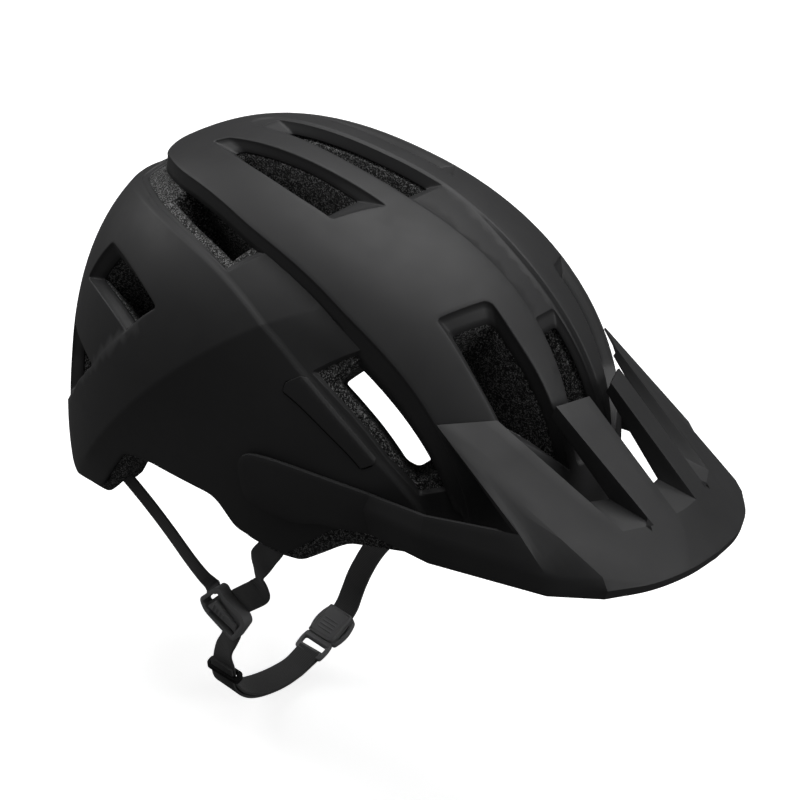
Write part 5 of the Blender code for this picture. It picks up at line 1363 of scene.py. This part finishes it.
def build_cradle(settings):
    """The nape plate, its ladder spine, the belt arms, and the dial in its housing."""
    edge = settings.edge * 1000
    flat = Matrix.Identity(4)
    yoke = slab("nape_plate", soft_outline(YOKE, 3.0), *YOKE_Y, flat)
    for sign in (-1, 1):
        window = ((sign * 13, -31.5), (sign * 24, -33.2), (sign * 22.5, -19), (sign * 13, -16))
        cut(yoke, slab("window", soft_outline(window, 2.0), 90, 99, flat))
    fitting(softened(yoke, edge), "cradle", "cradle_yoke")
    bar = soft_outline(((-7.8, -10.2, 1.5), (7.8, -10.2, 1.5), (7.8, 38, 3), (-7.8, 38, 3)), 1.5)
    spine = slab("ladder_spine", bar, *SPINE_Y, flat)
    for height in RUNGS:
        hole = soft_outline(oblong(3.6, height, height + 3.2), 0.9)
        cut(spine, slab("rung", hole, 99, 109, flat))
    fitting(softened(spine, edge * 0.7), "cradle", "height_spine")
    housing = slab("dial_case", soft_outline(oblong(22, -34.5, -10.5, 5), 5.0), *CASE_Y, flat)
    for height in (RACK_UP, RACK_DOWN):
        tunnel = oblong(30, height - 4.1, height + 4.1)
        cut(housing, slab("tunnel", tunnel, *TUNNEL_Y, flat))
    fitting(softened(housing, 1.1), "cradle", "dial_housing")
    _, y, z = DIAL_AT
    flutes = []
    for k in range(DIAL_FLUTES * 6):
        turn = 2 * math.pi * k / (DIAL_FLUTES * 6)
        reach = DIAL_RADIUS - 0.9 * max(math.cos(turn * DIAL_FLUTES), 0) ** 0.7
        flutes.append((reach * math.cos(turn), z + reach * math.sin(turn)))
    flat_radius = DIAL_RADIUS - 3.2
    disc = [(flat_radius * math.cos(t), z + flat_radius * math.sin(t)) for t in np.linspace(0, 2 * math.pi, 73)[:-1]]
    knob = softened(slab("grip_ring", flutes, y + 0.3, y + 8.6, flat), 0.8, 3, 55)
    cap = softened(slab("knob_cap", disc, y + 8.0, y + 9.0, flat), 0.5, 3)
    finish_piece(joined(knob, cap), "dark_rubber", "dial", "black_shell", "dial_knob")
    for side, sign, height in (("left", 1, RACK_UP), ("right", -1, RACK_DOWN)):
        line = []
        for reach, depth in smooth_line(ARM_PATH, 3):
            share = min(max((reach - 37) / 28, 0), 1) ** 0.8
            line.append(((sign * reach, depth, height + (TEMPLE_Z - height) * share), (0, 0, 1)))
        build_arm(side, line, edge)


def build_arm(side, line, edge):
    """A flat belt arm with a thicker rib along each border."""
    pieces = []
    for title, wide, thick in (("belt", ARM_HEIGHT, 1.1), ("rib_low", 1.3, ARM_THICK), ("rib_high", 1.3, ARM_THICK)):
        shift = {"belt": 0.0, "rib_low": -0.5, "rib_high": 0.5}[title] * (ARM_HEIGHT - 1.3)
        spine = smooth_line([(p[0], p[1], p[2] + shift) for p, _ in line], 2)
        along = unit(np.gradient(spine, axis=0))
        up = unit(np.array([0, 0, 1.0]) - along[:, 2:] * along)
        face = np.cross(along, up)
        points, faces = [], []
        for a, b in ((-1, -1), (1, -1), (1, 1), (-1, 1)):
            points.append(spine + up * a * wide / 2 + face * b * thick / 2)
        points = np.stack(points, axis=1).reshape(-1, 3)
        for i in range(len(spine) - 1):
            faces += [(4 * i + k, 4 * i + (k + 1) % 4, 4 * i + 4 + (k + 1) % 4, 4 * i + 4 + k) for k in range(4)]
        faces += [(0, 1, 2, 3), tuple(4 * len(spine) - 4 + k for k in range(4))]
        pieces.append(softened(new_object("arm_" + title, points, faces), min(edge, 0.4), 2))
    fitting(joined(*pieces), "arm_" + side, "cradle_arm_" + side)


def refined(node, name, width, paint, body, slot):
    """A welded copy of a small frame part with rounded edges."""
    source = bpy.data.objects[node]
    made = source.copy()
    made.data = source.data.copy()
    made.name = name
    made.parent = None
    bpy.context.scene.collection.objects.link(made)
    made.hide_render = False
    bm = bmesh.new()
    bm.from_mesh(made.data)
    bmesh.ops.remove_doubles(bm, verts=bm.verts, dist=2e-6)
    bmesh.ops.dissolve_limit(bm, angle_limit=math.radians(2), verts=bm.verts, edges=bm.edges)
    bm.to_mesh(made.data)
    bm.free()
    softened(made, width)
    return finish_piece(made, paint, body, slot, node)


def build_fittings(settings):
    """The strap anchors, the visor's bosses and the height guide."""
    edge = settings.edge * 1000
    for side in ("left", "right"):
        for end in ("front", "rear"):
            refined("strap_anchor_%s_%s" % (end, side), "anchor_%s_%s" % (end, side), edge, "dark_grey_plastic",
                    "helmet", "dark_plastic")
        refined("visor_boss_" + side, "boss_" + side, 0.2, "matte_black_visor", "helmet", "black_shell")
    refined("height_guide", "ladder_guide", edge * 0.7, "dark_grey_plastic", "helmet", "dark_plastic")


# ---------------------------------------------------------------- comfort pads
HEAD_RADIUS, HEM_RADIUS = 98.0, 0.75
COVER_STIFFNESS, FILL_FRAMES = 12.0, 20


def head_wall(turn, height, inward):
    """A place inside the head space at a turn round it and a height, a distance in from its wall."""
    t = np.radians(turn)
    lift = np.maximum(height - CAVITY_MID[2], 0) / CAVITY_HALF[2]
    size = np.sqrt(1 - lift ** 2)
    p = np.stack([CAVITY_HALF[0] * size * np.sin(t), CAVITY_MID[1] - CAVITY_HALF[1] * size * np.cos(t),
                  height + 0 * t], axis=-1)
    q = (p - CAVITY_MID) / CAVITY_HALF ** 2
    q[..., 2] = np.maximum(q[..., 2], 0)
    return p - q / np.linalg.norm(q, axis=-1)[..., None] * np.asarray(inward)[..., None]


def cushion(name, place, size, thick, settings, node):
    """A fabric-covered pad on the head space's wall: swollen between a sewn border."""
    wide, tall = size
    count_u, count_v = max(int(wide / 2.2), 8), max(int(tall / 2.2), 6)
    u, v = np.meshgrid(np.linspace(-1, 1, count_u), np.linspace(-1, 1, count_v), indexing="ij")
    corner = min(0.35 * min(wide, tall), 7.0)
    x, y = u * wide / 2, v * tall / 2
    inner = np.maximum(np.abs(np.stack([x, y], -1)) - [wide / 2 - corner, tall / 2 - corner], 0)
    over = np.linalg.norm(inner, axis=-1)
    pull = np.where(over > corner, corner / np.maximum(over, 1e-9), 1.0)
    x = np.sign(x) * (np.minimum(np.abs(x), wide / 2 - corner) + inner[..., 0] * pull)
    y = np.sign(y) * (np.minimum(np.abs(y), tall / 2 - corner) + inner[..., 1] * pull)
    border = 1 - np.maximum(np.abs(u), np.abs(v))
    rise = ease(border / 0.3)
    low = place(x, y, 0.5 + 0 * x)
    high = place(x, y, 0.9 + (thick - 1.6) * rise)
    points = np.concatenate([low.reshape(-1, 3), high.reshape(-1, 3)])
    total = count_u * count_v
    faces = []
    for i in range(count_u - 1):
        for j in range(count_v - 1):
            a, b, c, d = i * count_v + j, (i + 1) * count_v + j, (i + 1) * count_v + j + 1, i * count_v + j + 1
            faces += [(a, b, c, d), (a + total, d + total, c + total, b + total)]
    edge = [i * count_v for i in range(count_u)] + [(count_u - 1) * count_v + j for j in range(1, count_v)]
    edge += [i * count_v + count_v - 1 for i in range(count_u - 2, -1, -1)] + [j for j in range(count_v - 2, 0, -1)]
    for a, b in zip(edge, edge[1:] + edge[:1]):
        faces.append((a, b, b + total, a + total))
    pad = new_object(name, points, faces)
    hem_line = place(x, y, HEM_RADIUS + 0 * x).reshape(-1, 3)[edge]
    swell(pad, settings)
    hem = piping(name + "_hem", hem_line, HEM_RADIUS)
    made = joined(pad, hem)
    finish_piece(made, "charcoal_knit", "helmet", "pad_fabric", node)
    return made


def swell(pad, settings):
    """Fills a pad by a short cloth simulation, with each point's travel capped."""
    take(pad)
    mesher = pad.modifiers.new("remesh", "REMESH")
    mesher.mode, mesher.voxel_size = "VOXEL", settings.cell
    bpy.ops.object.modifier_apply(modifier=mesher.name)
    start = np.array([v.co[:] for v in pad.data.vertices])
    cloth = pad.modifiers.new("cloth", "CLOTH")
    cloth.settings.use_pressure = True
    cloth.settings.uniform_pressure_force = settings.pressure
    cloth.settings.effector_weights.gravity = 0.0
    cloth.settings.tension_stiffness = cloth.settings.compression_stiffness = COVER_STIFFNESS
    cloth.point_cache.frame_end = FILL_FRAMES
    for frame_number in range(1, FILL_FRAMES + 1):
        bpy.context.scene.frame_set(frame_number)
    bpy.ops.object.modifier_apply(modifier=cloth.name)
    bpy.context.scene.frame_set(1)
    ended = np.array([v.co[:] for v in pad.data.vertices])
    travel = ended - start
    length = np.linalg.norm(travel, axis=1)[:, None]
    ended = start + travel * np.minimum(1, settings.cap / np.maximum(length, 1e-9))
    for v, p in zip(pad.data.vertices, ended):
        v.co = p
    apply_step(pad, "SMOOTH", factor=0.5, iterations=2)
    apply_step(pad, "SUBSURF", levels=1, render_levels=1)


def piping(name, line, radius):
    """A sewn cord round a pad's border."""
    count, sides = len(line), 8
    along = unit(np.roll(line, -1, axis=0) - np.roll(line, 1, axis=0))
    out = line - line.mean(axis=0)
    out = unit(out - (out * along).sum(1)[:, None] * along)
    face = np.cross(along, out)
    points, faces, turns = [], [], np.linspace(0, 2 * math.pi, sides + 1)[:-1]
    for i in range(count):
        points += [line[i] + radius * (math.cos(t) * out[i] + math.sin(t) * face[i]) for t in turns]
        faces += [(sides * i + k, sides * i + (k + 1) % sides, (sides * (i + 1) + (k + 1) % sides) % (count * sides),
                   (sides * (i + 1) + k) % (count * sides)) for k in range(sides)]
    return new_object(name, points, faces)


def build_pads(settings):
    """The brow, side, rear and crown pads of the head space."""
    jobs = [("brow", "brow_pad", 0.0, 5.6, 104.0, 8.2, 4.6)]
    for side, sign in (("left", 1), ("right", -1)):
        jobs.append(("side_" + side, "side_pad_" + side, sign * 90.0, 37.0, 54.0, 14.0, 4.6))
        jobs.append(("nape_" + side, "rear_pad_" + side, sign * 154.0, 40.0, 24.0, 24.0, 4.6))
    for title, node, turn, height, spread, tall, thick in jobs:
        wide = math.radians(spread) * HEAD_RADIUS

        def place(x, y, inward, turn=turn, height=height, spread=spread, wide=wide):
            return head_wall(turn + x / wide * spread, height + y, inward)

        cushion("pad_" + title, place, (wide, tall), thick, settings, node)

    def roof(x, y, inward):
        top = CAVITY_MID[2] + CAVITY_HALF[2] * np.sqrt(1 - (x / CAVITY_HALF[0]) ** 2 - (y / CAVITY_HALF[1]) ** 2)
        return np.stack([x, y + CAVITY_MID[1], top - inward], axis=-1)

    cushion("pad_crown", roof, (36.0, 54.0), 6.8, settings, "crown_pad")


# ---------------------------------------------------------------- settings, operators and panel
class HelmetShellSettings(bpy.types.PropertyGroup):
    """Sizes and colours of the shells."""
    lip: bpy.props.FloatProperty(name="Lip radius", description="Rounding of the shell's edges", default=0.0008,
                                 subtype="DISTANCE")
    spacing: bpy.props.FloatProperty(name="Mesh spacing", description="Angle between mesh points, in degrees",
                                     default=1.6)
    colour: bpy.props.FloatVectorProperty(name="Shell colour", description="Moulded colour of the shells",
                                          default=(0.032, 0.032, 0.033),
                                          subtype="COLOR")


class HelmetVisorSettings(bpy.types.PropertyGroup):
    """Sizes of the visor."""
    wall: bpy.props.FloatProperty(name="Wall", description="Thickness of the visor", default=0.0024,
                                  subtype="DISTANCE")
    tip: bpy.props.FloatProperty(name="Tip", description="Thickness at the ribs' tips", default=0.0011,
                                 subtype="DISTANCE")
    edge: bpy.props.FloatProperty(name="Edge", description="Rounding of the visor's edges", default=0.00045,
                                  subtype="DISTANCE")
    crease: bpy.props.FloatProperty(name="Crease", description="How far the arm's crease stands out", default=0.0008,
                                    subtype="DISTANCE")


class HelmetStrapSettings(bpy.types.PropertyGroup):
    """Sizes and colour of the webbing."""
    width: bpy.props.FloatProperty(name="Width", description="Width of the webbing", default=0.014,
                                   subtype="DISTANCE")
    thickness: bpy.props.FloatProperty(name="Thickness", description="Thickness of the webbing", default=0.0014,
                                       subtype="DISTANCE")
    colour: bpy.props.FloatVectorProperty(name="Colour", description="Colour of the webbing",
                                          default=(0.075, 0.075, 0.076), subtype="COLOR")


class HelmetHardwareSettings(bpy.types.PropertyGroup):
    """Edges and colour of the plastic fittings."""
    edge: bpy.props.FloatProperty(name="Edge", description="Rounding of the fittings' edges", default=0.0006,
                                  subtype="DISTANCE")
    colour: bpy.props.FloatVectorProperty(name="Colour", description="Colour of the fittings",
                                          default=(0.23, 0.23, 0.234), subtype="COLOR")


class HelmetPadSettings(bpy.types.PropertyGroup):
    """How the comfort pads are filled."""
    cell: bpy.props.FloatProperty(name="Cell", description="Size of a pad's cloth cells", default=0.0017,
                                  subtype="DISTANCE")
    pressure: bpy.props.FloatProperty(name="Pressure", description="Filling pressure of the pads", default=4.0)
    cap: bpy.props.FloatProperty(name="Cap", description="Farthest that a pad's cover may move", default=0.0014,
                                 subtype="DISTANCE")
    fill: bpy.props.FloatProperty(name="Fill", description="How tight the pads are filled", default=0.7, min=0.0,
                                  max=1.0)


class HELMET_OT_finishes(bpy.types.Operator):
    """Makes the finishes of the helmet's pieces"""
    bl_idname = "helmet.finishes"
    bl_label = "Finishes"

    def execute(self, context):
        colour = context.scene.helmet_shell.colour
        plastic_paint("matte_black_shell", colour, 0.5)
        plastic_paint("matte_black_cap", colour, 0.5)
        plastic_paint("matte_black_visor", [c * 0.95 for c in colour], 0.52)
        foam_paint("bead_foam", (0.003, 0.003, 0.003), (0.4, 0.4, 0.4), 0.52)
        webbing_paint("black_webbing", context.scene.helmet_straps.colour, 1.1)
        fabric_paint("charcoal_knit", (0.03, 0.03, 0.032), 0.8)
        plastic_paint("dark_grey_plastic", context.scene.helmet_hardware.colour, 0.42, 1800.0)
        plastic_paint("dark_rubber", (0.016, 0.016, 0.017), 0.6, 1500.0, gloss=0.35)
        return {"FINISHED"}


class HELMET_OT_shells(bpy.types.Operator):
    """Builds the centre cap and the lower shell"""
    bl_idname = "helmet.shells"
    bl_label = "Shells"

    def execute(self, context):
        build_cap(context.scene.helmet_shell)
        build_body(context.scene.helmet_shell)
        build_inserts()
        return {"FINISHED"}


class HELMET_OT_foam(bpy.types.Operator):
    """Builds the foam liner"""
    bl_idname = "helmet.foam"
    bl_label = "Foam liner"

    def execute(self, context):
        build_foam(context.scene.helmet_shell)
        return {"FINISHED"}


class HELMET_OT_visor(bpy.types.Operator):
    """Builds the visor"""
    bl_idname = "helmet.visor"
    bl_label = "Visor"

    def execute(self, context):
        build_visor(context.scene.helmet_visor)
        return {"FINISHED"}


class HELMET_OT_straps(bpy.types.Operator):
    """Builds the webbing"""
    bl_idname = "helmet.straps"
    bl_label = "Straps"

    def execute(self, context):
        build_straps(context.scene.helmet_straps)
        return {"FINISHED"}


class HELMET_OT_hardware(bpy.types.Operator):
    """Builds the dividers, the buckle, the keeper and the small fittings"""
    bl_idname = "helmet.hardware"
    bl_label = "Strap hardware"

    def execute(self, context):
        build_dividers(context.scene.helmet_hardware)
        build_buckle(context.scene.helmet_hardware)
        build_fittings(context.scene.helmet_hardware)
        return {"FINISHED"}


class HELMET_OT_cradle(bpy.types.Operator):
    """Builds the fit cradle and its dial"""
    bl_idname = "helmet.cradle"
    bl_label = "Cradle"

    def execute(self, context):
        build_cradle(context.scene.helmet_hardware)
        return {"FINISHED"}


class HELMET_OT_pads(bpy.types.Operator):
    """Builds the comfort pads"""
    bl_idname = "helmet.pads"
    bl_label = "Pads"

    def execute(self, context):
        build_pads(context.scene.helmet_pads)
        return {"FINISHED"}


class HELMET_OT_stage(bpy.types.Operator):
    """Adds the floor, the lamps and the camera"""
    bl_idname = "helmet.stage"
    bl_label = "Stage"

    def execute(self, context):
        build_stage()
        return {"FINISHED"}


# the camera: what it looks at, its turn, rise and roll in degrees, its distance in metres, and its lens
LOOK_AT, LOOK_TURN, LOOK_RISE, LOOK_ROLL = (-13.7, -32.9, 44.4), -57, 28, 7
LOOK_REACH, LENS = 1.0734, 99.99
# the floor in metres, the light that reaches the helmet from all round, and the lamps: place, size and power
FLOOR_RADIUS, FLOOR_GAP, FLOOR_GLOW, ROOM_GLOW = 9.0, 0.002, 0.78, 0.085
LAMP_AIM = (0, 0, -0.06)
LAMPS = (("overhead", (0.45, 0.1, 2.4), 3.2, 52.0), ("rear", (-0.5, 2.2, 1.0), 1.5, 13.0),
         ("front", (0.3, -2.2, 1.0), 1.6, 12.0))


def build_floor(low):
    clear_selection()
    bpy.ops.mesh.primitive_circle_add(vertices=96, radius=FLOOR_RADIUS, fill_type="NGON", location=(0, 0, low))
    floor = bpy.context.object
    floor.name = "floor"
    bpy.ops.object.transform_apply(location=True, rotation=True, scale=True)
    made, shader, add, join = new_paint("pale_floor")
    seen = add("LightPath").outputs["Is Camera Ray"]
    tone = add("MapRange", To_Min=0.1, To_Max=0.9)
    join(seen, tone.inputs["Value"])
    join(tone.outputs["Result"], shader.inputs["Base Color"])
    set_inputs(shader, Roughness=0.9, Specular_IOR_Level=0.0, Emission_Color=(1, 1, 1, 1))
    join(maths(add, join, "MULTIPLY", seen, FLOOR_GLOW), shader.inputs["Emission Strength"])
    floor.data.materials.append(made)
    floor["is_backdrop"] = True


def build_stage():
    scene = bpy.context.scene
    scene.view_settings.view_transform = "Standard"
    build_floor(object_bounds()[0][2] - FLOOR_GAP)
    backdrop = bpy.data.worlds.new("studio")
    scene.world = backdrop
    backdrop.use_nodes = True
    tree = backdrop.node_tree
    ground = set_inputs(tree.nodes["Background"], Color=(1, 1, 1, 1), Strength=ROOM_GLOW)
    seen = set_inputs(tree.nodes.new("ShaderNodeBackground"), Color=(1, 1, 1, 1), Strength=1.0)
    path = tree.nodes.new("ShaderNodeLightPath")
    pick = tree.nodes.new("ShaderNodeMixShader")
    tree.links.new(path.outputs["Is Camera Ray"], pick.inputs["Fac"])
    tree.links.new(ground.outputs["Background"], pick.inputs[1])
    tree.links.new(seen.outputs["Background"], pick.inputs[2])
    tree.links.new(pick.outputs["Shader"], tree.nodes["World Output"].inputs["Surface"])
    for name, place, size, energy in LAMPS:
        lamp = bpy.data.lights.new(name, "AREA")
        lamp.shape, lamp.size, lamp.energy = "DISK", size, energy
        holder = bpy.data.objects.new(name, lamp)
        scene.collection.objects.link(holder)
        holder.location = place
        holder.rotation_euler = (Vector(LAMP_AIM) - Vector(place)).to_track_quat("-Z", "Y").to_euler()
    azimuth, rise = math.radians(LOOK_TURN), math.radians(LOOK_RISE)
    forward = -Vector((math.sin(azimuth) * math.cos(rise), -math.cos(azimuth) * math.cos(rise), math.sin(rise)))
    lens = bpy.data.cameras.new("camera")
    lens.lens = LENS
    camera = bpy.data.objects.new("camera", lens)
    scene.collection.objects.link(camera)
    camera.location = Vector(world([LOOK_AT])[0]) - forward * LOOK_REACH
    camera.rotation_mode = "QUATERNION"
    camera.rotation_quaternion = forward.to_track_quat("-Z", "Y") @ Quaternion((0, 0, 1), math.radians(LOOK_ROLL))
    scene.camera = camera


STEPS = ("finishes", "shells", "foam", "visor", "straps", "hardware", "cradle", "pads", "stage")


class HELMET_PT_pieces(bpy.types.Panel):
    """Lists the helmet's pieces"""
    bl_idname = "HELMET_PT_pieces"
    bl_label = "Helmet"
    bl_space_type = "VIEW_3D"
    bl_region_type = "UI"
    bl_category = "Helmet"

    def draw(self, context):
        for step in STEPS:
            self.layout.operator("helmet." + step)


SETTINGS = {"helmet_shell": HelmetShellSettings, "helmet_visor": HelmetVisorSettings,
            "helmet_straps": HelmetStrapSettings, "helmet_hardware": HelmetHardwareSettings,
            "helmet_pads": HelmetPadSettings}
CLASSES = (*SETTINGS.values(), HELMET_OT_finishes, HELMET_OT_shells, HELMET_OT_foam, HELMET_OT_visor,
           HELMET_OT_straps, HELMET_OT_hardware, HELMET_OT_cradle, HELMET_OT_pads, HELMET_OT_stage,
           HELMET_PT_pieces)


def register():
    for made in CLASSES:
        bpy.utils.register_class(made)
    for name, group in SETTINGS.items():
        setattr(bpy.types.Scene, name, bpy.props.PointerProperty(type=group))


def unregister():
    for name in SETTINGS:
        delattr(bpy.types.Scene, name)
    for made in reversed(CLASSES):
        bpy.utils.unregister_class(made)


def main():
    register()
    for step in STEPS:
        getattr(bpy.ops.helmet, step)()


if __name__ == "__main__":
    main()
